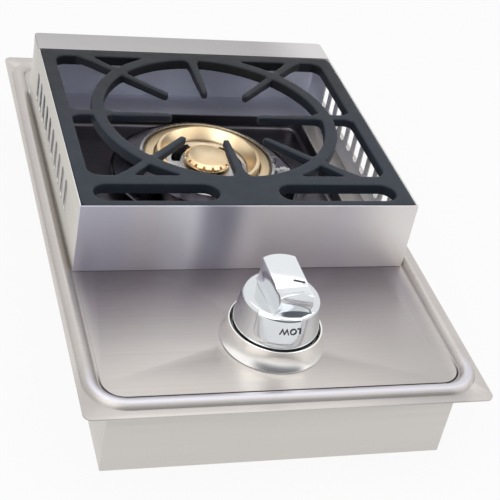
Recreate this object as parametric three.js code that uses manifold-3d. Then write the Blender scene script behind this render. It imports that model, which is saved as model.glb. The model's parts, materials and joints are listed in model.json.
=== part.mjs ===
// A built in gas side burner: a drop-in steel deck with a raised pot frame, a cast iron grate,
// a brass ring burner in its well, and a push and turn valve under a chromed knob.
// Lengths are in millimetres. The origin is under the middle of the liner, +Y runs to the rear, +Z up.

import * as THREE from "three";
import { mergeVertices } from "three/addons/utils/BufferGeometryUtils.js";
import Module from "manifold-3d";

const wasm = await Module();
wasm.setup();

// Working values shared by every piece
const seam = 0.2; // between faces that are welded, bolted or resting on each other
const overrun = 2; // how far a cut runs past the face that it opens
const weldTolerance = 0.0001; // vertices closer than this are one vertex
const fullTurn = 2 * Math.PI;
const degree = Math.PI / 180;

// Deck
const deckWidth = 330;
const deckGauge = 1.2;
const deckCornerRadius = 7;
const controlDepth = 175.8; // from the deck's front edge to the pot frame
const frameDepth = 296.2;
const rearSetback = 70; // from the pot frame to the deck's rear edge
const beadWidth = 13.5;
const beadHeight = 4.5;
const beadInnerRadius = 20;
const beadEndMargin = 7.4;
const beadSideMargin = 3.35;
const beadFrameGap = 0.45;

// Liner
const linerHeight = 73.2;
const linerGauge = 1.2;
const linerSideInset = 5.1; // from the side of the pot frame
const linerEndInset = 20.5; // from the deck's front and rear edges
const linerFlangeWidth = 6.5;
const floorSlotLength = 44;
const floorSlotWidth = 5;
const floorSlotPitch = 26;
const floorSlotRows = 2;
const floorSlotsPerRow = 4;
const floorSlotSetback = 42; // from the rear panel to the nearest row
const floorSlotRowPitch = 62;

// Pot frame
const frameHeight = 65.4;
const frameGauge = 1.2;
const ledgeDepth = 31.6;
const ledgeLip = 13;
const ledgeCornerRadius = 4;
const ventWidth = 11.6;
const ventHeight = 30;
const ventRise = 17.5; // from the deck to the foot of a vent
const ventPitch = 20.4;
const ventCount = 10;
const ventFirstSetback = 49; // from the frame's rear wall to the middle of the first vent
const railWidth = 6;
const railThickness = 2.8;
const railDrop = 13.2; // from the top of the pot frame to the top of the rail

// Grate
const grateClearance = 0.5; // to the frame's inner faces
const grateRearClearance = 1.4;
const grateDepth = 10.2;
const grateEdge = 1.1; // rounding of the cast edges
const sideBarWidth = 12.5;
const rearBarWidth = 11;
const frontBarWidth = 7.3;
const frontSlotDepth = 23.8;
const innerBarWidth = 14;
const slotBridgeWidth = 53; // bare plate between the two front slots
const ringRearInset = 1.1;
const ringWidth = 11.5;
const fingerCount = 8;
const fingerWidth = 8.6;
const mainFingerReach = 40.5; // from the burner's axis to a finger tip
const diagonalFingerReach = 52;
const fingerDrop = 1.6; // fingers are this much shallower than the bars
const windowCornerRadius = 10;
const grateCornerRadius = 6;
const fingerRootRadius = 6;
const footLength = 20;
const footWidth = 5;
const footInset = 24; // from the grate's end to the middle of a foot
const footSideInset = 0.6;

// Burner well
const wellSideMargin = 17.6; // from the liner's side to the deck opening
const wellEndMargin = 37.9; // from the pot frame's end to the deck opening
const wellCornerRadius = 14;
const wellFloorEdge = 4;
const wellDrop = 15;
const wellGauge = 1;
const wellLipWidth = 9;
const wellHoleRadius = 40;
const wellLeadHoleRadius = 5;

// Drip bowl
const bowlRimRadius = 88;
const bowlRimRoll = 1.6;
const bowlFlatRadius = 66;
const bowlHoleRadius = 31;
const bowlGauge = 1;
const bowlRimRise = 1; // above the deck

// Burner casting
const castingRimRadius = 64;
const castingRimWall = 2.2;
const castingRimRise = 18; // above the deck
const castingShoulderRise = 8;
const castingKeelRadius = 46;
const castingKeelDrop = 4; // below the deck
const castingInnerRadius = 35.6;
const castingSeatRise = 11;
const troughInnerRadius = 40.6;
const troughOuterRadius = 47.2;
const troughDepth = 11;
const webRise = 13;
const webThickness = 4.5;
const webOpeningInner = 25;
const webOpeningOuter = 34;
const webOpeningSweep = 66 * degree;
const webOpeningCount = 3;
const webFirstAngle = 90 * degree;
const armWidth = 16;
const bossRadius = 17;
const bossBore = 9;
const neckRadius = 24;
const neckDrop = 8;
const socketRadius = 16;
const socketLength = 46; // from the burner's axis
const mixingBore = 11;

// Brass rings
const lowerRingOuter = 60.4;
const lowerRingInner = 50.6;
const lowerRingRise = 17;
const lowerRingChamfer = 1.4;
const upperRingOuter = 49.2;
const upperRingInner = 38.4;
const upperRingRise = 24;
const upperRingCrest = 3;
const upperRingInnerRise = 15;
const ringWall = 2;
const ringPortCount = 36;
const ringPortWidth = 1.9;
const ringPortHeight = 2.4;
const ringPortDrop = 3.2; // from the ring's crest to the top of a port
const capRadius = 22;
const capRise = 21;
const capFaceRadius = 18;
const capEdgeHeight = 2.4;
const capSkirtHeight = 5.4;
const capNeckRadius = 14;
const capPortCount = 16;
const capPortWidth = 2.6;
const capPortHeight = 3.4;
const capPortDepth = 2.6;
const spigotRadius = 8.6;
const spigotLength = 7;

// Venturi and air shutter
const gasLineShare = 0.698441; // from the lowest place that the gas line fits to the highest
const venturiRadius = 14;
const venturiWall = 1.2;
const venturiEntry = 24; // how far the tube goes into the casting's socket
const mouthRadius = 17;
const mouthLength = 22;
const mouthFlare = 12;
const mouthFaceThickness = 1.6;
const airWindowSweep = 54 * degree;
const airWindowCount = 3;
const airWindowFirstAngle = 90 * degree;
const airWindowStart = 5; // from the tube's mouth
const airWindowLength = 10;
const shutterWall = 1.3;
const shutterClearance = 0.4;
const shutterStart = 2; // from the tube's mouth
const shutterLength = 15;
const shutterScrewRadius = 1.7;
const shutterScrewHeadRadius = 3.2;
const shutterScrewHead = 2.2;
const shutterScrewAngle = 30 * degree;
const shutterLug = 5;
const shutterLugHeight = 3;

// Support strap under the burner
const strapWidth = 40;
const strapGauge = 2;
const strapUpturn = 22;
const burnerBoltRadius = 3;
const burnerBoltHeadRadius = 5.8;
const burnerBoltHead = 4;
const burnerBoltDepth = 12;
const strapScrewRadius = 2.4;
const strapScrewHeadRadius = 4.6;
const strapScrewHead = 2.4;
const strapScrewLength = 9;

// Heat shield between the burner box and the controls
const shieldSetback = 19; // behind the pot frame's front wall
const shieldGauge = 1;
const shieldFlange = 12;
const shieldHoleClearance = 1.6;

// Valve
const knobReach = 92.8; // from the pot frame's front wall to the knob's axis
const valveBodyWidth = 28;
const valveBodyDepth = 28;
const valveBodyHeight = 36;
const valveEarThickness = 4;
const passageRadius = 3;
const outletRadius = 8;
const outletLength = 11;
const inletRadius = 9;
const inletLength = 9;
const pipeEntry = 10; // how far the pipe goes into the inlet
const bonnetRadius = 10.6;
const bonnetHeight = 20;
const bonnetCavityRadius = 8.8;
const bonnetRoof = 3;
const bonnetFootWidth = 42;
const bonnetFootDepth = 20;
const bonnetFootThickness = 3;
const bonnetScrewReach = 15.5;
const bonnetScrewRadius = 1.8;
const bonnetScrewHeadRadius = 3.2;
const bonnetScrewHead = 2.4;
const bonnetScrewLength = 6;
const stemRadius = 4;
const stemClearance = 0.3;
const stemSocketDepth = 18;
const stemShoulderRadius = 6;
const stemShoulderThickness = 1.2;
const stemFootGap = 1;
const stemFlatInset = 1.2;
const collarRadius = 8;
const collarThickness = 2;
const springRadius = 6.4;
const springWireRadius = 0.6;
const springTurns = 5;
const pushTravel = 3;
const orificeHexRadius = 6.2;
const orificeHexLength = 6;
const orificeNoseRadius = 3.4;
const orificeNoseLength = 6.4;
const orificeBore = 0.9;
const orificeThreadRadius = 4;
const orificeThreadLength = 8;
const bracketGauge = 1.5;
const bracketHalfWidth = 34;
const bracketDepth = 24;
const bracketLegGap = 0.7;
const bracketFootLength = 7;
const bracketHoleRadius = 5;
const sparkWidth = 20;
const sparkDepth = 24;
const sparkHeight = 30;
const sparkTerminalRadius = 3;
const sparkTerminalLength = 5;

// Gas line
const pipeRadius = 4.8;
const pipeBore = 3.6;
const pipeSideInset = 30; // from the liner's side to the pipe's axis
const pipeBend = 26;
const nutRadius = 9.6;
const nutLength = 12;
const unionBodyRadius = 7.94;
const unionHexRadius = 12.5;
const unionHexLength = 7;
const unionNoseLength = 12.5;
const unionInnerLength = 14;
const unionSocketDepth = 9;
const locknutRadius = 12.5;
const locknutLength = 5;

// Igniter
const igniterOffset = -3; // from the burner's axis along Y
const igniterRise = 6; // above the deck
const ceramicRadius = 3.2;
const ceramicStart = 69.4; // from the burner's axis
const ceramicLength = 13;
const leadHoleGap = 21.6; // from the ceramic's end to the axis of the lead's hole
const ceramicCollarRadius = 4.4;
const ceramicCollarLength = 2.4;
const electrodeRadius = 0.9;
const electrodeStandoff = 2.6; // outside the casting's rim
const electrodeRise = 21;
const electrodeTipRadius = 61.4;
const electrodeBend = 1.2;
const clipWall = 1;
const clipLength = 4;
const clipStart = 72; // from the burner's axis
const clipGauge = 1.2;
const clipTabNear = 9; // from the burner's axis along -Y
const clipTabFar = 19;
const clipTabFoot = 8.5; // above the deck
const clipTabTop = 17;
const igniterScrewRise = 13.5; // above the deck
const igniterScrewRadius = 1.5;
const igniterScrewHeadRadius = 2.8;
const igniterScrewHead = 1.8;
const leadRadius = 1.3;
const leadShieldX = 52; // where the lead goes through the heat shield
const leadRunRise = -38; // the lead's height under the deck
const leadDrop = [ // past the hole's axis, y, above the deck
  [-14, 49.9, 5.4],
  [-5, 49.4, 0],
  [-0.4, 49, -8],
  [0, 49.5, -16],
  [-1, 46, -28],
  [-7, 26, -37],
];
const leadRun = [ // x, y, above the deck
  [78, -18, leadRunRise],
  [56, -62, leadRunRise],
  [leadShieldX, -75.7, leadRunRise],
  [48, -90, leadRunRise],
  [39, -128, -34],
  [34.5, -150, -24],
];

// Knob and bezel
const bezelFootRadius = 43;
const bezelRimRadius = 38.3;
const bezelHeight = 17.6;
const bezelWaist = 1.6; // how far the wall bows in
const bezelWall = 1.5;
const bezelFloorThickness = 1.5;
const bezelHoleRadius = 12;
const bezelScrewReach = 27.5;
const bezelScrewRadius = 2;
const bezelScrewHeadRadius = 3.8;
const bezelScrewHead = 1.8;
const knobLift = 8; // from the deck to the knob's lower edge
const knobBaseRadius = 35;
const knobBaseRise = 20;
const knobShoulderRadius = 31.6;
const knobShoulderRise = 46;
const knobShoulderRound = 3.4;
const knobRise = 68;
const gripWidth = 23;
const gripLength = 49;
const gripCornerRadius = 2.4;
const gripEdge = 1.2;
const gripScoopRadius = 34;
const gripScoopDepth = 2.4;
const knobWall = 3;
const knobHubRadius = 10;
const knobHubDrop = 3;
const knobTabWidth = 36;
const knobTabRise = 23;
const knobTabThickness = 1;
const clipSleeveWall = 1;
const clipSleeveLength = 16;

// How finely round things are made
const beadArchSteps = 6;
const bezelSteps = 4;
const bendSteps = 6;
const springStepsPerTurn = 12;
const leadSteps = 44;
const electrodeSteps = 18;
const fineSides = 48;
const roundSides = 28;
const smallSides = 12;
const screwSides = 10;
const wireSides = 6;
const cornerSteps = 4;
const arcSteps = 2; // each arc of a flat shape gets twice as many
const hexSides = 6;

// Places that follow from the sizes above
const deckDepth = controlDepth + frameDepth + rearSetback;
const deckHalfWidth = deckWidth / 2;
const frontEdgeY = -deckDepth / 2;
const rearEdgeY = deckDepth / 2;
const deckUnderZ = linerHeight + seam;
const deckTopZ = deckUnderZ + deckGauge;
const frameHalfWidth = deckHalfWidth - beadSideMargin - beadWidth - beadFrameGap;
const frameFrontY = frontEdgeY + controlDepth;
const frameRearY = rearEdgeY - rearSetback;
const frameFootZ = deckTopZ + seam;
const frameTopZ = deckTopZ + frameHeight;
const burnerY = (frameFrontY + frameRearY) / 2;
const knobY = frameFrontY - knobReach;
const ledgeFrontY = frameRearY - ledgeDepth;
const linerHalfWidth = frameHalfWidth - linerSideInset;
const linerFrontY = frontEdgeY + linerEndInset;
const linerRearY = rearEdgeY - linerEndInset;
const linerInnerHalfWidth = linerHalfWidth - linerGauge;
const wellHalfWidth = linerHalfWidth - wellSideMargin;
const wellHalfDepth = frameDepth / 2 - wellEndMargin;
const wellFloorZ = deckTopZ - wellDrop;
const railTopZ = frameTopZ - railDrop;
const grateHalfWidth = frameHalfWidth - frameGauge - grateClearance;
const grateFrontY = frameFrontY + frameGauge + grateClearance;
const grateRearY = ledgeFrontY - grateRearClearance;
const grateUnderZ = frameTopZ - grateDepth;
const fingerUnderZ = grateUnderZ + fingerDrop;
const windowHalfWidth = grateHalfWidth - sideBarWidth;
const windowRearY = grateRearY - rearBarWidth;
const frontSlotY = grateFrontY + frontBarWidth;
const windowFrontY = frontSlotY + frontSlotDepth + innerBarWidth;
const ringOuterRadius = grateRearY - burnerY - ringRearInset;
const ringInnerRadius = ringOuterRadius - ringWidth;
const shieldY = frameFrontY + shieldSetback;
const bracketTopZ = deckUnderZ - seam;
const bonnetTopZ = bracketTopZ - bracketGauge - seam;
const valveTopZ = bonnetTopZ - bonnetHeight - seam;
const bracketFootTopZ = valveTopZ - valveEarThickness - seam;
const gasLineLowZ = linerGauge + seam + burnerBoltHead + seam + strapGauge + seam + socketRadius;
const gasLineHighZ = bracketFootTopZ - bracketGauge - seam - inletRadius;
const venturiZ = gasLineLowZ + (gasLineHighZ - gasLineLowZ) * gasLineShare;
const chamberBottomZ = venturiZ - socketRadius;
const strapTopZ = chamberBottomZ - seam;
const strapScrewZ = strapTopZ + (strapUpturn - strapGauge) / 2;
const bonnetFootZ = valveTopZ + seam;
const earHalfWidth = bonnetFootWidth / 2;
const inletTipX = -(valveBodyWidth / 2 + inletLength);
const shoulderTopZ = bonnetTopZ - bonnetRoof - seam;
const collarTopZ = shoulderTopZ - stemShoulderThickness - seam;
const stemFootZ = valveTopZ - stemSocketDepth + pushTravel + stemFootGap;
const bracketLegX = earHalfWidth + bracketLegGap;
const sparkX = bracketLegX + bracketGauge + seam + sparkWidth / 2;
const sparkRearY = knobY + sparkDepth / 2;
const sparkTopZ = bracketTopZ - bracketGauge - seam;
const socketFrontY = burnerY - socketLength;
const outletTipY = knobY + valveBodyDepth / 2 + outletLength;
const hexTipY = outletTipY + seam + orificeHexLength;
const mouthY = hexTipY + orificeNoseLength - mouthFaceThickness;
const pipeX = -(linerHalfWidth - pipeSideInset);
const pipeZ = venturiZ;
const unionFrontY = linerRearY - linerGauge - unionInnerLength;
const clipAngle = -Math.asin((clipTabNear + clipTabFar) / 2 / castingRimRadius);
const leadRunZ = deckTopZ + leadRunRise;
const igniterY = burnerY + igniterOffset;
const leadHoleX = ceramicStart + ceramicLength + leadHoleGap;
const igniterZ = deckTopZ + igniterRise;
const knobFootZ = deckTopZ + knobLift;
const knobRoofZ = deckTopZ + knobShoulderRise - knobWall;
const clipSleeveRadius = stemRadius + seam + clipSleeveWall;
const clipSleeveFootZ = knobFootZ;
const stemTopZ = clipSleeveFootZ + clipSleeveLength;

// Geometry and solids

// Turns a closed geometry into a solid that can be joined and cut.
function solidFrom(geometry) {
  const bare = geometry.clone();
  bare.deleteAttribute("normal");
  bare.deleteAttribute("uv");
  const merged = mergeVertices(bare, weldTolerance);
  const corners = merged.index.array;
  const triVerts = [];
  for (let i = 0; i < corners.length; i += 3) {
    const [a, b, c] = corners.slice(i, i + 3);
    if (a !== b && b !== c && c !== a) triVerts.push(a, b, c);
  }
  return new wasm.Manifold(
    new wasm.Mesh({
      numProp: 3,
      vertProperties: merged.attributes.position.array,
      triVerts: Uint32Array.from(triVerts),
    }),
  );
}

function geometryFrom(solid) {
  const mesh = solid.getMesh();
  const geometry = new THREE.BufferGeometry();
  geometry.setAttribute("position", new THREE.BufferAttribute(mesh.vertProperties, 3));
  geometry.setIndex(new THREE.BufferAttribute(mesh.triVerts, 1));
  geometry.computeVertexNormals();
  return geometry;
}

function join(first, ...others) {
  return others.reduce((sum, other) => sum.add(other), first);
}

function cut(body, ...tools) {
  return tools.reduce((rest, tool) => rest.subtract(tool), body);
}

// The part that two solids share.
function common(first, second) {
  return first.intersect(second);
}

// A box between two opposite corners.
function block(corner, opposite) {
  const size = corner.map((value, i) => Math.abs(opposite[i] - value));
  const middle = corner.map((value, i) => (value + opposite[i]) / 2);
  return solidFrom(new THREE.BoxGeometry(...size).translate(...middle));
}

// A flat shape in the XY plane, raised from one height to another.
function plate(shape, lowZ, highZ, steps = arcSteps) {
  const settings = { depth: highZ - lowZ, bevelEnabled: false, curveSegments: steps };
  return solidFrom(new THREE.ExtrudeGeometry(shape, settings).translate(0, 0, lowZ));
}

// A flat shape whose top and bottom edges are broken by a small bevel.
function castPlate(shape, lowZ, highZ, edge, steps = arcSteps) {
  const settings = {
    depth: highZ - lowZ - 2 * edge,
    bevelThickness: edge,
    bevelSize: edge,
    bevelOffset: -edge,
    bevelSegments: 1,
    curveSegments: steps,
  };
  return solidFrom(new THREE.ExtrudeGeometry(shape, settings).translate(0, 0, lowZ + edge));
}

// A profile of [radius, height] points turned about the Z axis.
function turned(profile, sides = roundSides) {
  let doubleArea = 0;
  profile.forEach(([r, z], i) => {
    const [nextR, nextZ] = profile[(i + 1) % profile.length];
    doubleArea += r * nextZ - nextR * z;
  });
  const ordered = doubleArea > 0 ? profile : [...profile].reverse();
  const onAxis = ordered.findIndex(([r], i) => r === 0 && ordered.at(i - 1)[0] === 0);
  const points = onAxis < 0 ? [...ordered, ordered[0]] : shifted(ordered, onAxis);
  const vectors = points.map(([r, z]) => new THREE.Vector2(r, z));
  return solidFrom(new THREE.LatheGeometry(vectors, sides).rotateX(Math.PI / 2));
}

// The same loop of points, started at another one of them.
function shifted(points, start) {
  return [...points.slice(start), ...points.slice(0, start)];
}

// A straight round bar or tube cut from one point to another.
function rod(from, to, radius, sides = smallSides) {
  const start = new THREE.Vector3(...from);
  const along = new THREE.Vector3(...to).sub(start);
  const geometry = new THREE.CylinderGeometry(radius, radius, along.length(), sides);
  const turn = new THREE.Quaternion().setFromUnitVectors(
    new THREE.Vector3(0, 1, 0),
    along.clone().normalize(),
  );
  const middle = along.clone().multiplyScalar(1 / 2).add(start);
  return solidFrom(geometry.applyQuaternion(turn).translate(middle.x, middle.y, middle.z));
}

// A round section carried along a smooth route.
function hose(points, radius, steps, sides = wireSides) {
  const route = new THREE.CatmullRomCurve3(
    points.map((point) => new THREE.Vector3(...point)),
    false,
    "centripetal",
  );
  const section = new THREE.Shape().absarc(0, 0, radius, 0, fullTurn);
  const settings = { steps, extrudePath: route, curveSegments: sides / 2, bevelEnabled: false };
  return solidFrom(new THREE.ExtrudeGeometry(section, settings));
}

function roundedRectangle(halfX, halfY, radius, x = 0, y = 0) {
  const shape = new THREE.Shape();
  shape.absarc(x + halfX - radius, y + halfY - radius, radius, 0, Math.PI / 2);
  shape.absarc(x - halfX + radius, y + halfY - radius, radius, Math.PI / 2, Math.PI);
  shape.absarc(x - halfX + radius, y - halfY + radius, radius, Math.PI, 3 * Math.PI / 2);
  shape.absarc(x + halfX - radius, y - halfY + radius, radius, 3 * Math.PI / 2, fullTurn);
  shape.closePath();
  return shape;
}

// A slot with half-round ends, long in X or in Y.
function slotShape(x, y, halfX, halfY) {
  return roundedRectangle(halfX, halfY, Math.min(halfX, halfY), x, y);
}

function circleShape(x, y, radius) {
  return new THREE.Shape().absarc(x, y, radius, 0, fullTurn);
}

// A closed section of [outward, height] points carried once round a rounded rectangle.
function roundTheDeck(section, halfX, halfY, radius) {
  const stations = [];
  const corners = [[1, 1, 0], [-1, 1, 1], [-1, -1, 2], [1, -1, 3]];
  for (const [signX, signY, quarter] of corners) {
    for (let step = 0; step <= cornerSteps; step += 1) {
      const angle = (quarter + step / cornerSteps) * Math.PI / 2;
      stations.push(
        [signX * (halfX - radius), signY * (halfY - radius), Math.cos(angle), Math.sin(angle)],
      );
    }
  }
  const positions = [];
  for (const [centreX, centreY, outX, outY] of stations) {
    for (const [outward, height] of section) {
      positions.push(centreX + (radius + outward) * outX, centreY + (radius + outward) * outY, height);
    }
  }
  const count = section.length;
  const faces = [];
  stations.forEach((_, s) => {
    const here = s * count;
    const there = ((s + 1) % stations.length) * count;
    for (let i = 0; i < count; i += 1) {
      const next = (i + 1) % count;
      faces.push(here + i, there + i, there + next, here + i, there + next, here + next);
    }
  });
  const geometry = new THREE.BufferGeometry();
  geometry.setAttribute("position", new THREE.Float32BufferAttribute(positions, 3));
  geometry.setIndex(faces);
  return solidFrom(geometry);
}

// Copies of a solid turned evenly about the vertical line through a point.
function turnedCopies(solid, count, x, y, firstAngle = 0) {
  const centred = solid.translate([-x, -y, 0]);
  return Array.from({ length: count }, (_, i) => {
    const angle = firstAngle + i * fullTurn / count;
    return centred.rotate([0, 0, angle / degree]).translate([x, y, 0]);
  });
}

// A sector of a ring, used as a cutter.
function sectorShape(x, y, inner, outer, middle, sweep) {
  const shape = new THREE.Shape();
  shape.absarc(x, y, outer, middle - sweep / 2, middle + sweep / 2, false);
  shape.absarc(x, y, inner, middle + sweep / 2, middle - sweep / 2, true);
  shape.closePath();
  return shape;
}

// A hexagonal bar from one point to another.
function hexBar(from, to, radius) {
  return rod(from, to, radius, hexSides);
}

// Turns a solid made about the Z axis so that it lies along +Y from a point.
function laidAlongY(solid, x, y, z) {
  return solid.rotate([-90, 0, 0]).translate([x, y, z]);
}

// Finishes
const brushedSteel = { color: 0xc8c4be, roughness: 0.34, metalness: 1 };
const pressedSteel = { color: 0xb5b1ab, roughness: 0.42, metalness: 1 };
const castIron = { color: 0x3c424a, roughness: 0.72, metalness: 0.25 };
const polishedBrass = { color: 0xffe1aa, roughness: 0.18, metalness: 1 };
const castAluminium = { color: 0xd6d6d4, roughness: 0.4, metalness: 1 };
const plainBrass = { color: 0xc9a560, roughness: 0.35, metalness: 1 };
const zincPlate = { color: 0xa9aaa9, roughness: 0.38, metalness: 1 };
const chrome = { color: 0xe9ebee, roughness: 0.08, metalness: 1 };
const whiteCeramic = { color: 0xf2efe8, roughness: 0.35, metalness: 0 };
const blackPlastic = { color: 0x1b1b1d, roughness: 0.5, metalness: 0 };
const leadSleeve = { color: 0x2a2624, roughness: 0.6, metalness: 0 };

const sideBurner = new THREE.Group();

function addPiece(name, solid, finish) {
  const piece = new THREE.Mesh(geometryFrom(solid), new THREE.MeshStandardMaterial(finish));
  piece.name = name;
  sideBurner.add(piece);
}

// Deck: a flat sheet with a pressed bead all round, and openings for the well and the valve stem
function deckPanel() {
  const halfX = frameHalfWidth + beadFrameGap + beadWidth / 2;
  const halfY = deckDepth / 2 - beadEndMargin - beadWidth / 2;
  const radius = beadInnerRadius + beadWidth / 2;
  const crown = beadSection(beadWidth / 2, beadHeight, deckUnderZ, deckTopZ);
  const hollow = beadSection(beadWidth / 2 - deckGauge, beadHeight, deckUnderZ - overrun, deckUnderZ);
  const sheet = plate(
    roundedRectangle(deckHalfWidth, deckDepth / 2, deckCornerRadius),
    deckUnderZ,
    deckTopZ,
  );
  const pressed = cut(
    join(sheet, roundTheDeck(crown, halfX, halfY, radius)),
    roundTheDeck(hollow, halfX, halfY, radius),
  );
  const low = deckUnderZ - overrun;
  const high = deckTopZ + overrun;
  const opening = plate(
    roundedRectangle(wellHalfWidth, wellHalfDepth, wellCornerRadius, 0, burnerY),
    low,
    high,
  );
  const stemHole = rod([0, knobY, low], [0, knobY, high], bonnetRadius);
  return cut(pressed, opening, stemHole, ...bezelScrewHoles(low, high));
}

// The outline of a pressed bead: an arch that stands on a straight foot.
function beadSection(halfWidth, height, footZ, springZ) {
  const arch = Array.from({ length: beadArchSteps + 1 }, (_, i) => {
    const angle = Math.PI * i / beadArchSteps;
    return [halfWidth * Math.cos(angle), springZ + height * Math.sin(angle)];
  });
  return [[halfWidth, footZ], ...arch, [-halfWidth, footZ]];
}

function bezelScrewHoles(low, high) {
  return [-bezelScrewReach, bezelScrewReach].map((x) =>
    rod([x, knobY, low], [x, knobY, high], bezelScrewRadius + seam, screwSides));
}

// Liner: a folded box under the deck
function linerEndPanel(outerY, inward) {
  const flangeHalfX = linerInnerHalfWidth - seam;
  const flangeZ = linerHeight - linerGauge;
  const wall = block(
    [-linerHalfWidth, outerY, 0],
    [linerHalfWidth, outerY + inward * linerGauge, linerHeight],
  );
  const flange = block(
    [-flangeHalfX, outerY, flangeZ],
    [flangeHalfX, outerY + inward * linerFlangeWidth, linerHeight],
  );
  return join(wall, flange);
}

function linerRearPanel() {
  const fromY = linerRearY + overrun;
  const toY = linerRearY - linerGauge - overrun;
  const hole = rod([pipeX, fromY, pipeZ], [pipeX, toY, pipeZ], unionBodyRadius + seam);
  return cut(linerEndPanel(linerRearY, -1), hole);
}

function linerSidePanel(side) {
  const outerX = side * linerHalfWidth;
  const frontY = linerFrontY + linerGauge + seam;
  const rearY = linerRearY - linerGauge - seam;
  const wall = block([outerX, frontY, 0], [outerX - side * linerGauge, rearY, linerHeight]);
  const flange = block(
    [outerX, linerFrontY + linerFlangeWidth + seam, linerHeight - linerGauge],
    [outerX - side * linerFlangeWidth, linerRearY - linerFlangeWidth - seam, linerHeight],
  );
  return cut(join(wall, flange), strapScrewHole(side));
}

function strapScrewHole(side) {
  const fromX = side * (linerHalfWidth + overrun);
  const toX = side * (linerInnerHalfWidth - strapGauge - overrun);
  return rod(
    [fromX, burnerY, strapScrewZ],
    [toX, burnerY, strapScrewZ],
    strapScrewRadius + seam,
    screwSides,
  );
}

function linerFloor() {
  const halfX = linerInnerHalfWidth - seam;
  const frontY = linerFrontY + linerGauge + seam;
  const rearY = linerRearY - linerGauge - seam;
  const slots = [];
  for (let row = 0; row < floorSlotRows; row += 1) {
    for (let i = 0; i < floorSlotsPerRow; i += 1) {
      const x = (i - (floorSlotsPerRow - 1) / 2) * floorSlotPitch;
      const y = linerRearY - floorSlotSetback - row * floorSlotRowPitch;
      slots.push(
        plate(slotShape(x, y, floorSlotWidth / 2, floorSlotLength / 2), -overrun, linerGauge + overrun),
      );
    }
  }
  return cut(block([-halfX, frontY, 0], [halfX, rearY, linerGauge]), ...slots);
}

addPiece("deck_panel", deckPanel(), brushedSteel);
addPiece("liner_front", linerEndPanel(linerFrontY, 1), pressedSteel);
addPiece("liner_rear", linerRearPanel(), pressedSteel);
addPiece("liner_left", linerSidePanel(-1), pressedSteel);
addPiece("liner_right", linerSidePanel(1), pressedSteel);
addPiece("liner_floor", linerFloor(), pressedSteel);

// Pot frame: four walls on the deck, with a ledge behind the grate
function frameFrontWall() {
  return block(
    [-frameHalfWidth, frameFrontY, frameFootZ],
    [frameHalfWidth, frameFrontY + frameGauge, frameTopZ],
  );
}

function frameSideWall(side) {
  const outerX = side * frameHalfWidth;
  const innerX = outerX - side * frameGauge;
  const rearY = frameRearY - ledgeCornerRadius - seam;
  const wall = block([outerX, frameFrontY + frameGauge + seam, frameFootZ], [innerX, rearY, frameTopZ]);
  const underLedge = block(
    [outerX + side * overrun, ledgeFrontY - seam, frameTopZ - frameGauge - seam],
    [innerX - side * overrun, rearY + overrun, frameTopZ + overrun],
  );
  const vents = Array.from(
    { length: ventCount },
    (_, i) => ventSlot(side, frameRearY - ventFirstSetback - i * ventPitch),
  );
  return cut(wall, underLedge, ...vents);
}

// An upright slot with half-round ends, cut through a side wall.
function ventSlot(side, y) {
  const radius = ventWidth / 2;
  const outX = side * (frameHalfWidth + overrun);
  const inX = side * (frameHalfWidth - frameGauge - overrun);
  const lowZ = deckTopZ + ventRise + radius;
  const highZ = deckTopZ + ventRise + ventHeight - radius;
  const ends = [lowZ, highZ].map((z) => rod([outX, y, z], [inX, y, z], radius));
  return join(block([outX, y - radius, lowZ], [inX, y + radius, highZ]), ...ends);
}

function frameRearWall() {
  const halfDepth = frameDepth / 2;
  const outline = roundedRectangle(frameHalfWidth, halfDepth, ledgeCornerRadius, 0, burnerY);
  const inset = ledgeCornerRadius - frameGauge;
  const inside = roundedRectangle(frameHalfWidth - frameGauge, halfDepth - frameGauge, inset, 0, burnerY);
  const lowZ = frameFootZ - overrun;
  const wallFrontY = frameRearY - ledgeCornerRadius;
  const aheadOfWall = block([-deckWidth, frontEdgeY, lowZ], [deckWidth, wallFrontY, frameTopZ + overrun]);
  const aheadOfLedge = block(
    [-deckWidth, frontEdgeY, lowZ],
    [deckWidth, ledgeFrontY, frameTopZ + overrun],
  );
  const wall = cut(
    plate(outline, frameFootZ, frameTopZ),
    plate(inside, lowZ, frameTopZ + overrun),
    aheadOfWall,
  );
  const ledge = cut(plate(outline, frameTopZ - frameGauge, frameTopZ), aheadOfLedge);
  const lipHalfX = frameHalfWidth - frameGauge - seam;
  const lip = block(
    [-lipHalfX, ledgeFrontY, frameTopZ - ledgeLip],
    [lipHalfX, ledgeFrontY + frameGauge, frameTopZ],
  );
  return join(wall, ledge, lip);
}

// A flat bar along the inside of a side wall, which the grate's feet stand on.
function grateRail(side) {
  const outerX = side * (frameHalfWidth - frameGauge - seam);
  const frontY = frameFrontY + frameGauge + seam;
  const underZ = railTopZ - railThickness;
  return block([outerX, frontY, underZ], [outerX - side * railWidth, ledgeFrontY - seam, railTopZ]);
}

addPiece("frame_front_wall", frameFrontWall(), brushedSteel);
addPiece("frame_left_wall", frameSideWall(-1), brushedSteel);
addPiece("frame_right_wall", frameSideWall(1), brushedSteel);
addPiece("frame_rear_wall", frameRearWall(), brushedSteel);
addPiece("grate_rail_left", grateRail(-1), brushedSteel);
addPiece("grate_rail_right", grateRail(1), brushedSteel);

// Grate: a cast frame and a ring, with eight fingers that reach in over the burner
function potGrate() {
  const ring = circleShape(0, burnerY, ringOuterRadius);
  ring.holes.push(circleShape(0, burnerY, ringInnerRadius));
  const pieces = [castPlate(ring, grateUnderZ, frameTopZ, grateEdge, fineSides / 2)];
  for (let i = 0; i < fingerCount; i += 1) {
    const angle = i * fullTurn / fingerCount;
    const reach = i % 2 === 0 ? mainFingerReach : diagonalFingerReach;
    const finger = join(grateFinger(reach, fingerEnd(angle)), ...fingerRoots(angle));
    pieces.push(aboutTheBurner(finger, angle));
  }
  return join(grateFrame(), ...pieces, ...grateFeet());
}

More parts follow.
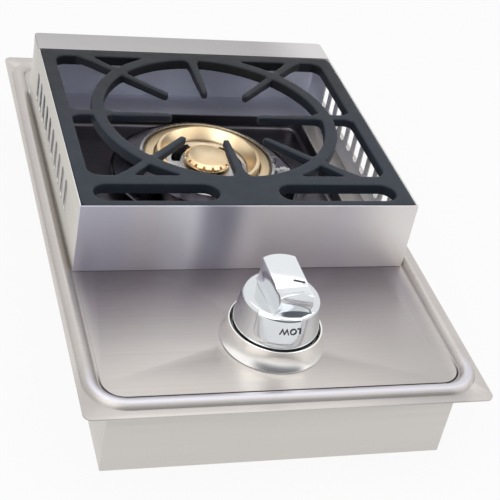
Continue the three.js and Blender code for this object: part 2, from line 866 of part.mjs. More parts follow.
function grateFrame() {
  const middleY = (grateFrontY + grateRearY) / 2;
  const halfY = (grateRearY - grateFrontY) / 2;
  const outline = roundedRectangle(grateHalfWidth, halfY, grateCornerRadius, 0, middleY);
  const windowY = (windowFrontY + windowRearY) / 2;
  const windowHalfY = (windowRearY - windowFrontY) / 2;
  outline.holes.push(roundedRectangle(windowHalfWidth, windowHalfY, windowCornerRadius, 0, windowY));
  const slotHalfX = (windowHalfWidth - slotBridgeWidth / 2) / 2;
  const slotX = slotBridgeWidth / 2 + slotHalfX;
  for (const side of [-1, 1]) {
    outline.holes.push(
      slotShape(side * slotX, frontSlotY + frontSlotDepth / 2, slotHalfX, frontSlotDepth / 2),
    );
  }
  return castPlate(outline, grateUnderZ, frameTopZ, grateEdge, cornerSteps);
}

// How far from the burner's axis a finger runs before it ends inside a bar of the frame.
function fingerEnd(angle) {
  const acrossX = (windowHalfWidth + sideBarWidth / 2) / Math.abs(Math.cos(angle));
  const toRear = windowRearY + rearBarWidth / 2 - burnerY;
  const toFront = burnerY - windowFrontY + innerBarWidth / 2;
  const acrossY = (Math.sin(angle) > 0 ? toRear : toFront) / Math.abs(Math.sin(angle));
  return Math.min(acrossX, acrossY);
}

function grateFinger(reach, end) {
  const shape = slotShape((reach + end) / 2, 0, (end - reach) / 2, fingerWidth / 2);
  return castPlate(shape, fingerUnderZ, frameTopZ, grateEdge);
}

// Small webs in the corners where a finger meets the ring and the frame's bars.
function fingerRoots(angle) {
  const toRear = (windowRearY - burnerY) / Math.abs(Math.sin(angle));
  const toFront = (burnerY - windowFrontY) / Math.abs(Math.sin(angle));
  const toBar = Math.sin(angle) > 0 ? toRear : toFront;
  const roots = [[Math.min(ringInnerRadius, toBar), -1]];
  if (toBar > ringOuterRadius) roots.push([ringOuterRadius, 1]);
  const endsOnSideBar = Math.abs(Math.sin(angle)) < weldTolerance;
  if (endsOnSideBar) roots.push([windowHalfWidth, -1]);
  return roots.flatMap(([radius, outward]) => [-1, 1].map((side) => rootWeb(radius, outward, side)));
}

function rootWeb(radius, outward, side) {
  const farX = radius + outward * fingerRootRadius;
  const farY = side * (fingerWidth / 2 + fingerRootRadius);
  const highZ = frameTopZ - grateEdge;
  const corner = block(
    [radius - outward * grateEdge, side * (fingerWidth / 2 - grateEdge), fingerUnderZ],
    [farX, farY, highZ],
  );
  const round = rod(
    [farX, farY, fingerUnderZ - overrun],
    [farX, farY, highZ + overrun],
    fingerRootRadius,
  );
  return cut(corner, round);
}

function grateFeet() {
  const feet = [];
  for (const side of [-1, 1]) {
    for (const y of [grateFrontY + footInset, grateRearY - footInset]) {
      const outerX = side * (grateHalfWidth - footSideInset);
      const low = [outerX, y - footLength / 2, railTopZ + seam];
      feet.push(block(low, [outerX - side * footWidth, y + footLength / 2, grateUnderZ + grateEdge]));
    }
  }
  return feet;
}

// Places a solid that was made about the origin round the burner's upright axis.
function aboutTheBurner(solid, angle = 0) {
  return solid.rotate([0, 0, angle / degree]).translate([0, burnerY, 0]);
}

addPiece("pot_grate", potGrate(), castIron);

// Burner well: a stamped pan under the deck opening
function burnerWell() {
  const lipTopZ = deckUnderZ - seam;
  const outerHalfX = wellHalfWidth + wellGauge;
  const outerHalfY = wellHalfDepth + wellGauge;
  const outerRadius = wellCornerRadius + wellGauge;
  const pan = roundedRectangle(outerHalfX, outerHalfY, outerRadius, 0, burnerY);
  const hollow = roundedRectangle(wellHalfWidth, wellHalfDepth, wellCornerRadius, 0, burnerY);
  const lip = roundedRectangle(
    outerHalfX + wellLipWidth,
    outerHalfY + wellLipWidth,
    outerRadius + wellLipWidth,
    0,
    burnerY,
  );
  const aboveTheLip = block([-deckWidth, frontEdgeY, lipTopZ], [deckWidth, rearEdgeY, frameTopZ]);
  const body = cut(castPlate(pan, wellFloorZ - wellGauge, frameTopZ, wellFloorEdge), aboveTheLip);
  const rim = plate(lip, lipTopZ - wellGauge, lipTopZ);
  const inside = castPlate(hollow, wellFloorZ, frameTopZ, wellFloorEdge);
  const lowZ = wellFloorZ - wellGauge - overrun;
  const highZ = wellFloorZ + overrun;
  const burnerHole = rod([0, burnerY, lowZ], [0, burnerY, highZ], wellHoleRadius, roundSides);
  const leadHole = rod(
    [leadHoleX, igniterY, lowZ],
    [leadHoleX, igniterY, highZ],
    wellLeadHoleRadius,
  );
  return cut(join(body, rim), inside, burnerHole, leadHole);
}

// Drip bowl: a shallow spun dish round the burner
function dripBowl() {
  const baseZ = wellFloorZ + seam;
  const rimZ = deckTopZ + bowlRimRise;
  return aboutTheBurner(turned([
    [bowlHoleRadius, baseZ],
    [bowlFlatRadius, baseZ],
    [bowlRimRadius, rimZ - bowlGauge],
    [bowlRimRadius + bowlRimRoll, rimZ - bowlGauge],
    [bowlRimRadius + bowlRimRoll, rimZ],
    [bowlRimRadius - bowlGauge, rimZ],
    [bowlFlatRadius - bowlGauge / 2, baseZ + bowlGauge],
    [bowlHoleRadius, baseZ + bowlGauge],
  ], fineSides));
}

addPiece("burner_well", burnerWell(), pressedSteel);
addPiece("drip_bowl", dripBowl(), pressedSteel);

// Burner casting: a trough for the two rings, carried on a web over the mixing chamber
function aboveDeck(rise) {
  return deckTopZ + rise;
}

function burnerCasting() {
  const seatZ = aboveDeck(castingSeatRise);
  const rimInner = castingRimRadius - castingRimWall;
  const annulus = turned([
    [castingInnerRadius, aboveDeck(-castingKeelDrop)],
    [castingKeelRadius, aboveDeck(-castingKeelDrop)],
    [castingRimRadius, aboveDeck(castingShoulderRise)],
    [castingRimRadius, aboveDeck(castingRimRise)],
    [rimInner, aboveDeck(castingRimRise)],
    [rimInner, seatZ],
    [troughOuterRadius, seatZ],
    [troughOuterRadius, seatZ - troughDepth],
    [troughInnerRadius, seatZ - troughDepth],
    [troughInnerRadius, seatZ],
    [castingInnerRadius, seatZ],
  ], fineSides);
  const body = join(annulus, castingWeb(), castingChamber());
  const screwZ = aboveDeck(igniterScrewRise);
  const screwHole = rod(
    [rimInner - overrun, 0, screwZ],
    [castingRimRadius + overrun, 0, screwZ],
    igniterScrewRadius + seam,
    screwSides,
  );
  const boltHole = rod(
    [0, 0, chamberBottomZ - overrun],
    [0, 0, chamberBottomZ + burnerBoltDepth],
    burnerBoltRadius + seam,
    screwSides,
  );
  const cuts = [castingPassages(), screwHole.rotate([0, 0, clipAngle / degree]), boltHole];
  return aboutTheBurner(cut(body, ...cuts));
}

// The spoked disc in the middle, with three arms under it and a bore for the centre cap.
function castingWeb() {
  const topZ = aboveDeck(webRise);
  const disc = rod(
    [0, 0, topZ - webThickness],
    [0, 0, topZ],
    castingInnerRadius + castingRimWall,
    roundSides,
  );
  const openings = [];
  const arms = [];
  for (let i = 0; i < webOpeningCount; i += 1) {
    const angle = webFirstAngle + i * fullTurn / webOpeningCount;
    const opening = sectorShape(0, 0, webOpeningInner, webOpeningOuter, angle, webOpeningSweep);
    openings.push(plate(opening, topZ - webThickness - overrun, topZ + overrun));
    const armFootZ = aboveDeck(-castingKeelDrop);
    const arm = block(
      [bossRadius / 2, -armWidth / 2, armFootZ],
      [troughInnerRadius - castingRimWall, armWidth / 2, topZ - webThickness],
    );
    arms.push(arm.rotate([0, 0, (angle + fullTurn / 2) / degree]));
  }
  return join(cut(disc, ...openings), ...arms);
}

function castingChamber() {
  const neckZ = aboveDeck(-neckDrop);
  const axis = turned([
    [0, chamberBottomZ],
    [neckRadius, chamberBottomZ],
    [neckRadius, neckZ],
    [bossRadius, aboveDeck(0)],
    [bossRadius, aboveDeck(webRise)],
    [0, aboveDeck(webRise)],
  ]);
  return join(axis, rod([0, 0, venturiZ], [0, -socketLength, venturiZ], socketRadius, roundSides));
}

// The way of the gas: in from the venturi tube, through the chamber and up to the centre cap.
function castingPassages() {
  const entryY = venturiEntry - socketLength;
  const mouth = [0, -socketLength - overrun, venturiZ];
  const entry = rod([0, entryY, venturiZ], mouth, venturiRadius + seam, roundSides);
  const mixing = rod([0, 0, venturiZ], mouth, mixingBore);
  const topZ = aboveDeck(webRise);
  const riser = rod([0, 0, venturiZ], [0, 0, topZ + overrun], bossBore);
  return join(entry, mixing, riser);
}

// Brass rings and centre cap
function lowerFlameRing() {
  const footZ = aboveDeck(castingSeatRise) + seam;
  const topZ = aboveDeck(lowerRingRise);
  return aboutTheBurner(turned([
    [lowerRingInner, footZ],
    [lowerRingOuter, footZ],
    [lowerRingOuter, topZ - lowerRingChamfer],
    [lowerRingOuter - lowerRingChamfer, topZ],
    [lowerRingInner + lowerRingChamfer / 2, topZ],
    [lowerRingInner, topZ - lowerRingChamfer / 2],
  ], fineSides));
}

function upperFlameRing() {
  const footZ = aboveDeck(castingSeatRise) + seam;
  const crestZ = aboveDeck(upperRingRise);
  const innerZ = aboveDeck(upperRingInnerRise);
  const crestOuter = upperRingOuter - lowerRingChamfer / 2;
  const crestInner = crestOuter - upperRingCrest;
  const slope = (crestZ - innerZ) / (crestInner - upperRingInner);
  const underSlope = (r) => innerZ + slope * (r - upperRingInner) - ringWall * Math.hypot(1, slope);
  const roofZ = crestZ - ringWall;
  const hollowInner = upperRingInner + ringWall;
  const ring = turned([
    [upperRingInner, footZ],
    [upperRingInner, innerZ],
    [crestInner, crestZ],
    [crestOuter, crestZ],
    [upperRingOuter, crestZ - lowerRingChamfer / 2],
    [upperRingOuter, footZ],
    [upperRingOuter - ringWall, footZ],
    [upperRingOuter - ringWall, roofZ],
    [crestInner, Math.min(roofZ, underSlope(crestInner))],
    [hollowInner, underSlope(hollowInner)],
    [hollowInner, footZ],
  ], fineSides);
  const portTopZ = crestZ - ringPortDrop;
  const port = block(
    [upperRingOuter - ringWall - ringPortWidth / 2, -ringPortWidth / 2, portTopZ - ringPortHeight],
    [upperRingOuter + overrun, ringPortWidth / 2, portTopZ],
  );
  return aboutTheBurner(cut(ring, ...turnedCopies(port, ringPortCount, 0, 0)));
}

function centreFlameCap() {
  const topZ = aboveDeck(capRise);
  const seatZ = aboveDeck(webRise) + seam;
  const cap = turned([
    [0, seatZ - spigotLength],
    [spigotRadius, seatZ - spigotLength],
    [spigotRadius, seatZ],
    [capNeckRadius, seatZ],
    [capNeckRadius, topZ - capSkirtHeight],
    [capRadius, topZ - capSkirtHeight],
    [capRadius, topZ - capEdgeHeight],
    [capFaceRadius, topZ],
    [0, topZ],
  ]);
  const port = block(
    [capRadius - capPortDepth, -capPortWidth / 2, topZ - capSkirtHeight + lowerRingChamfer],
    [capRadius + overrun, capPortWidth / 2, topZ - capSkirtHeight + lowerRingChamfer + capPortHeight],
  );
  return aboutTheBurner(cut(cap, ...turnedCopies(port, capPortCount, 0, 0)));
}

addPiece("burner_casting", burnerCasting(), castAluminium);
addPiece("lower_flame_ring", lowerFlameRing(), polishedBrass);
addPiece("upper_flame_ring", upperFlameRing(), polishedBrass);
addPiece("centre_flame_cap", centreFlameCap(), polishedBrass);

// Strap across the liner that the burner is bolted to
function burnerStrap() {
  const halfX = linerInnerHalfWidth - seam;
  const underZ = strapTopZ - strapGauge;
  const halfWidth = strapWidth / 2;
  const flat = block([-halfX, burnerY - halfWidth, underZ], [halfX, burnerY + halfWidth, strapTopZ]);
  const upturns = [-1, 1].map((side) => block(
    [side * halfX, burnerY - halfWidth, underZ],
    [side * (halfX - strapGauge), burnerY + halfWidth, underZ + strapUpturn],
  ));
  const boltHole = rod(
    [0, burnerY, underZ - overrun],
    [0, burnerY, strapTopZ + overrun],
    burnerBoltRadius + seam,
    screwSides,
  );
  return cut(join(flat, ...upturns), boltHole, strapScrewHole(-1), strapScrewHole(1));
}

function burnerBolt() {
  const seatZ = strapTopZ - strapGauge - seam;
  const tipZ = chamberBottomZ + burnerBoltDepth - seam;
  const head = hexBar([0, burnerY, seatZ - burnerBoltHead], [0, burnerY, seatZ], burnerBoltHeadRadius);
  return join(
    head,
    rod([0, burnerY, seatZ - burnerBoltHead / 2], [0, burnerY, tipZ], burnerBoltRadius, screwSides),
  );
}

function strapScrew(side) {
  const seatX = linerHalfWidth + seam;
  const head = rod(
    [side * seatX, burnerY, strapScrewZ],
    [side * (seatX + strapScrewHead), burnerY, strapScrewZ],
    strapScrewHeadRadius,
  );
  const tip = [side * (seatX - strapScrewLength), burnerY, strapScrewZ];
  const shank = rod(
    tip,
    [side * (seatX + strapScrewHead / 2), burnerY, strapScrewZ],
    strapScrewRadius,
    screwSides,
  );
  return join(head, shank);
}

addPiece("burner_strap", burnerStrap(), zincPlate);
addPiece("burner_bolt", burnerBolt(), zincPlate);
addPiece("strap_screw_left", strapScrew(-1), zincPlate);
addPiece("strap_screw_right", strapScrew(1), zincPlate);

// Venturi tube with its air shutter, made upright from the mouth and then laid along the gas line
function venturiTube() {
  const length = socketFrontY + venturiEntry - seam - mouthY;
  const holeRadius = orificeNoseRadius + stemClearance;
  const tube = turned([
    [holeRadius, 0],
    [mouthRadius, 0],
    [mouthRadius, mouthLength],
    [venturiRadius, mouthLength + mouthFlare],
    [venturiRadius, length],
    [venturiRadius - venturiWall, length],
    [venturiRadius - venturiWall, mouthLength + mouthFlare],
    [mouthRadius - venturiWall, mouthLength],
    [mouthRadius - venturiWall, mouthFaceThickness],
    [holeRadius, mouthFaceThickness],
  ]);
  return laidAlongY(cut(tube, ...airWindows()), 0, mouthY, venturiZ);
}

function airWindows() {
  return Array.from({ length: airWindowCount }, (_, i) => {
    const angle = airWindowFirstAngle + i * fullTurn / airWindowCount;
    const window = sectorShape(
      0,
      0,
      mouthRadius - overrun,
      mouthRadius + 2 * overrun,
      angle,
      airWindowSweep,
    );
    return plate(window, airWindowStart, airWindowStart + airWindowLength);
  });
}

function airShutter() {
  const inner = mouthRadius + shutterClearance;
  const outer = inner + shutterWall;
  const endZ = shutterStart + shutterLength;
  const sleeve = turned([[inner, shutterStart], [outer, shutterStart], [outer, endZ], [inner, endZ]]);
  const middleZ = shutterStart + shutterLength / 2;
  const lug = rod(
    [inner + shutterWall / 2, 0, middleZ],
    [outer + shutterLugHeight, 0, middleZ],
    shutterLug,
  );
  const hole = rod(
    [0, 0, middleZ],
    [outer + shutterLugHeight + overrun, 0, middleZ],
    shutterScrewRadius + seam,
    screwSides,
  );
  const turn = [0, 0, shutterScrewAngle / degree];
  return laidAlongY(
    cut(join(sleeve, lug.rotate(turn)), ...airWindows(), hole.rotate(turn)),
    0,
    mouthY,
    venturiZ,
  );
}

function shutterScrew() {
  const seatX = mouthRadius + shutterClearance + shutterWall + shutterLugHeight + seam;
  const middleZ = shutterStart + shutterLength / 2;
  const shank = rod(
    [mouthRadius + seam, 0, middleZ],
    [seatX + shutterScrewHead / 2, 0, middleZ],
    shutterScrewRadius,
    screwSides,
  );
  const head = rod(
    [seatX, 0, middleZ],
    [seatX + shutterScrewHead, 0, middleZ],
    shutterScrewHeadRadius,
    screwSides,
  );
  return laidAlongY(join(shank, head).rotate([0, 0, shutterScrewAngle / degree]), 0, mouthY, venturiZ);
}

addPiece("venturi_tube", venturiTube(), zincPlate);
addPiece("air_shutter", airShutter(), zincPlate);
addPiece("shutter_screw", shutterScrew(), zincPlate);

// Heat shield: a folded sheet between the burner box and the controls
function heatShield() {
  const halfX = linerInnerHalfWidth - seam;
  const footZ = linerGauge + seam;
  const topZ = linerHeight - linerGauge - seam;
  const rearY = shieldY + shieldGauge;
  const wall = block([-halfX, shieldY, footZ], [halfX, rearY, topZ]);
  const foot = block([-halfX, rearY - shieldFlange, footZ], [halfX, rearY, footZ + shieldGauge]);
  const through = (x, z, radius) =>
    rod([x, shieldY - overrun, z], [x, rearY + overrun, z], radius + shieldHoleClearance);
  return cut(
    join(wall, foot),
    through(0, venturiZ, venturiRadius),
    through(pipeX, pipeZ, pipeRadius),
    through(leadShieldX, leadRunZ, leadRadius),
  );
}

addPiece("heat_shield", heatShield(), pressedSteel);

// Valve, its bonnet and the parts that ride on its stem
function valveBody() {
  const halfX = valveBodyWidth / 2;
  const halfY = valveBodyDepth / 2;
  const core = block(
    [-halfX, knobY - halfY, valveTopZ - valveBodyHeight],
    [halfX, knobY + halfY, valveTopZ],
  );
  const earHalfY = bonnetFootDepth / 2;
  const ears = block(
    [-earHalfWidth, knobY - earHalfY, valveTopZ - valveEarThickness],
    [earHalfWidth, knobY + earHalfY, valveTopZ],
  );
  const outlet = rod([0, knobY, venturiZ], [0, outletTipY, venturiZ], outletRadius);
  const inlet = rod([0, knobY, pipeZ], [inletTipX, knobY, pipeZ], inletRadius);
  const threadFootY = outletTipY - orificeThreadLength;
  const outletThread = rod(
    [0, threadFootY, venturiZ],
    [0, outletTipY + overrun, venturiZ],
    orificeThreadRadius + seam,
  );
  const outletPassage = rod([0, knobY, venturiZ], [0, outletTipY, venturiZ], passageRadius);
  const pipeSocket = rod(
    [inletTipX + pipeEntry, knobY, pipeZ],
    [inletTipX - overrun, knobY, pipeZ],
    pipeRadius + seam,
  );
  const inletPassage = rod([0, knobY, pipeZ], [inletTipX, knobY, pipeZ], passageRadius);
  const stemSocket = rod(
    [0, knobY, valveTopZ - stemSocketDepth],
    [0, knobY, valveTopZ + overrun],
    stemRadius + stemClearance,
  );
  const cuts = [outletThread, outletPassage, pipeSocket, inletPassage, stemSocket, ...bonnetScrewHoles()];
  return cut(join(core, ears, outlet, inlet), ...cuts);
}

function bonnetScrewHoles() {
  const lowZ = valveTopZ - valveEarThickness - overrun;
  return [-bonnetScrewReach, bonnetScrewReach].map((x) =>
    rod([x, knobY, lowZ], [x, knobY, bonnetTopZ], bonnetScrewRadius + seam, screwSides));
}

function valveBonnet() {
  const footHalfY = bonnetFootDepth / 2;
  const foot = block(
    [-earHalfWidth, knobY - footHalfY, bonnetFootZ],
    [earHalfWidth, knobY + footHalfY, bonnetFootZ + bonnetFootThickness],
  );
  const cup = rod([0, knobY, bonnetFootZ], [0, knobY, bonnetTopZ], bonnetRadius, roundSides);
  const cavity = rod(
    [0, knobY, bonnetFootZ - overrun],
    [0, knobY, bonnetTopZ - bonnetRoof],
    bonnetCavityRadius,
    roundSides,
  );
  const stemHole = rod(
    [0, knobY, bonnetFootZ],
    [0, knobY, bonnetTopZ + overrun],
    stemRadius + stemClearance,
  );
  return cut(join(foot, cup), cavity, stemHole, ...bonnetScrewHoles());
}

// A round-headed screw with its head down to a seat.
function screwDown(x, y, seatZ, shank, length, headRadius, headHeight) {
  const head = rod([x, y, seatZ], [x, y, seatZ + headHeight], headRadius, screwSides);
  return join(head, rod([x, y, seatZ - length], [x, y, seatZ + headHeight / 2], shank, screwSides));
}

function bonnetScrew(side) {
  const seatZ = bonnetFootZ + bonnetFootThickness + seam;
  const x = side * bonnetScrewReach;
  return screwDown(
    x,
    knobY,
    seatZ,
    bonnetScrewRadius,
    bonnetScrewLength,
    bonnetScrewHeadRadius,
    bonnetScrewHead,
  );
}

function springCollar() {
  const low = collarTopZ - collarThickness;
  const bore = stemRadius + stemClearance;
  const collar = turned([
    [bore, low],
    [collarRadius, low],
    [collarRadius, collarTopZ],
    [bore, collarTopZ],
  ]);
  return collar.translate([0, knobY, 0]);
}

function valveSpring() {
  const lowZ = valveTopZ + seam + springWireRadius;
  const highZ = collarTopZ - collarThickness - seam - springWireRadius;
  const steps = springTurns * springStepsPerTurn;
  const coil = Array.from({ length: steps + 1 }, (_, i) => {
    const angle = i * fullTurn / springStepsPerTurn;
    const rise = (highZ - lowZ) * i / steps;
    return [springRadius * Math.cos(angle), knobY + springRadius * Math.sin(angle), lowZ + rise];
  });
  return hose(coil, springWireRadius, steps, hexSides);
}

// The stem, flatted on one side where the knob grips it.
function stemSolid(radius, fromZ, toZ) {
  const flatY = knobY + radius - stemFlatInset;
  const flat = block(
    [-stemRadius * 2, flatY, knobFootZ],
    [stemRadius * 2, flatY + stemRadius, toZ + overrun],
  );
  return cut(rod([0, knobY, fromZ], [0, knobY, toZ], radius), flat);
}

function valveStem() {
  const shoulder = rod(
    [0, knobY, shoulderTopZ - stemShoulderThickness],
    [0, knobY, shoulderTopZ],
    stemShoulderRadius,
  );
  return join(stemSolid(stemRadius, stemFootZ, stemTopZ), shoulder);
}

function gasOrifice() {
  const start = outletTipY + seam;
  const noseTipY = hexTipY + orificeNoseLength;
  const hex = hexBar([0, start, venturiZ], [0, hexTipY, venturiZ], orificeHexRadius);
  const threadFootY = outletTipY - orificeThreadLength + seam;
  const thread = rod(
    [0, threadFootY, venturiZ],
    [0, start + orificeHexLength / 2, venturiZ],
    orificeThreadRadius,
  );
  const nose = rod([0, start, venturiZ], [0, noseTipY, venturiZ], orificeNoseRadius);
  const bore = rod(
    [0, threadFootY - overrun, venturiZ],
    [0, noseTipY + overrun, venturiZ],
    orificeBore,
    screwSides,
  );
  return cut(join(hex, thread, nose), bore);
}

// Bracket under the deck: a flat top, two legs and feet that hold the valve by its ears.
function valveBracket() {
  const halfY = bracketDepth / 2;
  const topZ = bracketTopZ;
  const parts = [
    block(
      [-bracketHalfWidth, knobY - halfY, topZ - bracketGauge],
      [bracketHalfWidth, knobY + halfY, topZ],
    ),
  ];
  for (const side of [-1, 1]) {
    const nearX = side * bracketLegX;
    const farX = nearX + side * bracketGauge;
    const footZ = bracketFootTopZ - bracketGauge;
    parts.push(block([nearX, knobY - halfY, footZ], [farX, knobY + halfY, topZ]));
    parts.push(
      block(
        [farX, knobY - halfY, footZ],
        [nearX - side * bracketFootLength, knobY + halfY, bracketFootTopZ],
      ),
    );
  }
  const lowZ = topZ - bracketGauge - overrun;
  const highZ = topZ + overrun;
  const stemHole = rod([0, knobY, lowZ], [0, knobY, highZ], bracketHoleRadius);
  return cut(join(...parts), stemHole, ...bezelScrewHoles(lowZ, highZ));
}

function sparkUnit() {
  const frontY = knobY - sparkDepth / 2;
  const body = block(
    [sparkX - sparkWidth / 2, frontY, sparkTopZ - sparkHeight],
    [sparkX + sparkWidth / 2, sparkRearY, sparkTopZ],
  );
  const terminalZ = sparkTopZ - sparkHeight / 2;
  const terminal = rod(
    [sparkX, knobY, terminalZ],
    [sparkX, sparkRearY + sparkTerminalLength, terminalZ],
    sparkTerminalRadius,
  );
  return join(body, terminal);
}

addPiece("valve_body", valveBody(), castAluminium);
addPiece("valve_bonnet", valveBonnet(), castAluminium);
addPiece("bonnet_screw_left", bonnetScrew(-1), zincPlate);
addPiece("bonnet_screw_right", bonnetScrew(1), zincPlate);
addPiece("spring_collar", springCollar(), zincPlate);
addPiece("valve_spring", valveSpring(), zincPlate);
addPiece("valve_stem", valveStem(), plainBrass);
addPiece("gas_orifice", gasOrifice(), plainBrass);
addPiece("valve_bracket", valveBracket(), zincPlate);
addPiece("spark_unit", sparkUnit(), blackPlastic);

// Gas line: from the valve along the liner to a union through the rear panel
function gasPipe() {
  const bendX = pipeX + pipeBend;
  const bendY = knobY + pipeBend;
  const bend = Array.from({ length: bendSteps + 1 }, (_, i) => {
    const angle = i / bendSteps * fullTurn / 4;
    const alongX = -Math.cos(angle);
    const alongY = Math.sin(angle);
    return [bendX - pipeBend * alongY, bendY + pipeBend * alongX, alongX, alongY];
  });
  const start = [inletTipX + pipeEntry - seam, knobY, -1, 0];
  const end = [pipeX, unionFrontY + unionSocketDepth - seam, 0, 1];
  return levelTube([start, ...bend, end], pipeZ, pipeRadius, pipeBore);
}

// A tube along a level route of [x, y, alongX, alongY] stations, open at both ends.
function levelTube(stations, z, outer, inner, sides = smallSides) {
  const positions = [];
  for (const [x, y, alongX, alongY] of stations) {
    for (const radius of [outer, inner]) {
      for (let i = 0; i < sides; i += 1) {
        const across = radius * Math.cos(i * fullTurn / sides);
        const up = radius * Math.sin(i * fullTurn / sides);
        positions.push(x + alongY * across, y - alongX * across, z + up);
      }
    }
  }
  const at = (station, ring, i) => (station * 2 + ring) * sides + i % sides;
  const faces = [];
  const quad = (a, b, c, d) => faces.push(a, b, c, a, c, d);
  const last = stations.length - 1;
  for (let i = 0; i < sides; i += 1) {
    for (let s = 0; s < last; s += 1) {
      quad(at(s, 0, i), at(s + 1, 0, i), at(s + 1, 0, i + 1), at(s, 0, i + 1));
      quad(at(s, 1, i), at(s, 1, i + 1), at(s + 1, 1, i + 1), at(s + 1, 1, i));
    }
    quad(at(0, 0, i), at(0, 0, i + 1), at(0, 1, i + 1), at(0, 1, i));
    quad(at(last, 0, i), at(last, 1, i), at(last, 1, i + 1), at(last, 0, i + 1));
  }
  const geometry = new THREE.BufferGeometry();
  geometry.setAttribute("position", new THREE.Float32BufferAttribute(positions, 3));
  geometry.setIndex(faces);
  return solidFrom(geometry);
}

function inletNut() {
  const startX = inletTipX - seam;
  const endX = startX - nutLength;
  const bore = rod([startX + overrun, knobY, pipeZ], [endX - overrun, knobY, pipeZ], pipeRadius + seam);
  return cut(hexBar([startX, knobY, pipeZ], [endX, knobY, pipeZ], nutRadius), bore);
}

function inletUnion() {
  const hexY = linerRearY + seam;
  const tipY = hexY + unionHexLength + unionNoseLength;
  const hex = hexBar([pipeX, hexY, pipeZ], [pipeX, hexY + unionHexLength, pipeZ], unionHexRadius);
  const body = rod([pipeX, unionFrontY, pipeZ], [pipeX, tipY, pipeZ], unionBodyRadius);
  const bore = rod([pipeX, unionFrontY - overrun, pipeZ], [pipeX, tipY + overrun, pipeZ], pipeBore);
  const socket = rod(
    [pipeX, unionFrontY - overrun, pipeZ],
    [pipeX, unionFrontY + unionSocketDepth, pipeZ],
    pipeRadius + seam,
  );
  return cut(join(hex, body), bore, socket);
}

function inletLocknut() {
  const rearY = linerRearY - linerGauge - seam;
  const frontY = rearY - locknutLength;
  const bore = rod(
    [pipeX, frontY - overrun, pipeZ],
    [pipeX, rearY + overrun, pipeZ],
    unionBodyRadius + seam,
  );
  return cut(hexBar([pipeX, frontY, pipeZ], [pipeX, rearY, pipeZ], locknutRadius), bore);
}

addPiece("gas_pipe", gasPipe(), zincPlate);
addPiece("valve_inlet_nut", inletNut(), plainBrass);
addPiece("inlet_union", inletUnion(), plainBrass);
addPiece("inlet_locknut", inletLocknut(), plainBrass);

// Igniter beside the burner, and the lead that feeds it
function igniterCeramic() {
  const tube = rod(
    [ceramicStart, igniterY, igniterZ],
    [ceramicStart + ceramicLength, igniterY, igniterZ],
    ceramicRadius,
  );
  const collarX = clipStart + clipLength + seam;
  const collar = rod(
    [collarX, igniterY, igniterZ],
    [collarX + ceramicCollarLength, igniterY, igniterZ],
    ceramicCollarRadius,
  );
  return join(tube, collar);
}

function igniterElectrode() {
  const startX = ceramicStart - seam;
  const uprightX = castingRimRadius + electrodeStandoff;
  const tipZ = aboveDeck(electrodeRise);
  const route = [
    [startX, igniterY, igniterZ],
    [uprightX + electrodeBend, igniterY, igniterZ],
    [uprightX, igniterY, igniterZ + electrodeBend],
    [uprightX, igniterY, (igniterZ + tipZ) / 2],
    [uprightX, igniterY, tipZ - electrodeBend],
    [uprightX - electrodeBend, igniterY, tipZ],
    [electrodeTipRadius, igniterY, tipZ],
  ];
  return hose(route, electrodeRadius, electrodeSteps);
}

// A tab that hugs the casting's rim, with an arm out to a ring round the ceramic.
function igniterBracket() {
  const inner = castingRimRadius + seam;
  const outer = inner + clipGauge;
  const footZ = aboveDeck(clipTabFoot);
  const topZ = aboveDeck(clipTabTop);
  const band = turned([[inner, footZ], [outer, footZ], [outer, topZ], [inner, topZ]], fineSides);
  const tab = common(band, block([0, -clipTabFar, footZ], [outer, -clipTabNear, topZ]));
  const armTopZ = footZ + clipGauge;
  const clipEnd = clipStart + clipLength;
  const clipRadius = ceramicRadius + seam + clipWall;
  const arm = block([0, -clipTabFar + clipGauge, footZ], [clipEnd, -clipTabNear, armTopZ]);
  const finger = block(
    [clipStart, -clipTabNear, footZ],
    [clipEnd, igniterOffset - ceramicRadius / 2, armTopZ],
  );
  const ring = rod([clipStart, igniterOffset, igniterZ], [clipEnd, igniterOffset, igniterZ], clipRadius);
  const bore = rod(
    [clipStart - overrun, igniterOffset, igniterZ],
    [clipEnd + overrun, igniterOffset, igniterZ],
    ceramicRadius + seam,
  );
  const casting = rod([0, 0, footZ - overrun], [0, 0, topZ + overrun], inner, fineSides);
  const screwZ = aboveDeck(igniterScrewRise);
  const hole = rod([0, 0, screwZ], [outer + overrun, 0, screwZ], igniterScrewRadius + seam, screwSides);
  const body = cut(join(arm, finger, ring), casting, bore);
  return aboutTheBurner(cut(join(tab, body), hole.rotate([0, 0, clipAngle / degree])));
}

function igniterScrew() {
  const seatX = castingRimRadius + seam + clipGauge + seam;
  const z = aboveDeck(igniterScrewRise);
  const head = rod([seatX, 0, z], [seatX + igniterScrewHead, 0, z], igniterScrewHeadRadius, screwSides);
  const shank = rod(
    [castingRimRadius - castingRimWall, 0, z],
    [seatX + igniterScrewHead / 2, 0, z],
    igniterScrewRadius,
    screwSides,
  );
  return aboutTheBurner(join(head, shank), clipAngle);
}

// The lead leaves the ceramic, drops through the well and runs forward to the spark unit.
function ignitionLead() {
  const startX = ceramicStart + ceramicLength + seam;
  const endY = sparkRearY + sparkTerminalLength + seam;
  const terminalZ = sparkTopZ - sparkHeight / 2;
  const route = [
    [startX, igniterY, igniterZ],
    ...leadDrop.map(([past, y, rise]) => [leadHoleX + past, y, aboveDeck(rise)]),
    ...leadRun.map(([x, y, rise]) => [x, y, aboveDeck(rise)]),
    [sparkX, endY + sparkTerminalLength, terminalZ],
    [sparkX, endY, terminalZ],
  ];
  return hose(route, leadRadius, leadSteps);
}

addPiece("igniter_ceramic", igniterCeramic(), whiteCeramic);
addPiece("igniter_electrode", igniterElectrode(), zincPlate);
addPiece("igniter_bracket", igniterBracket(), zincPlate);
addPiece("igniter_screw", igniterScrew(), zincPlate);
addPiece("ignition_lead", ignitionLead(), leadSleeve);

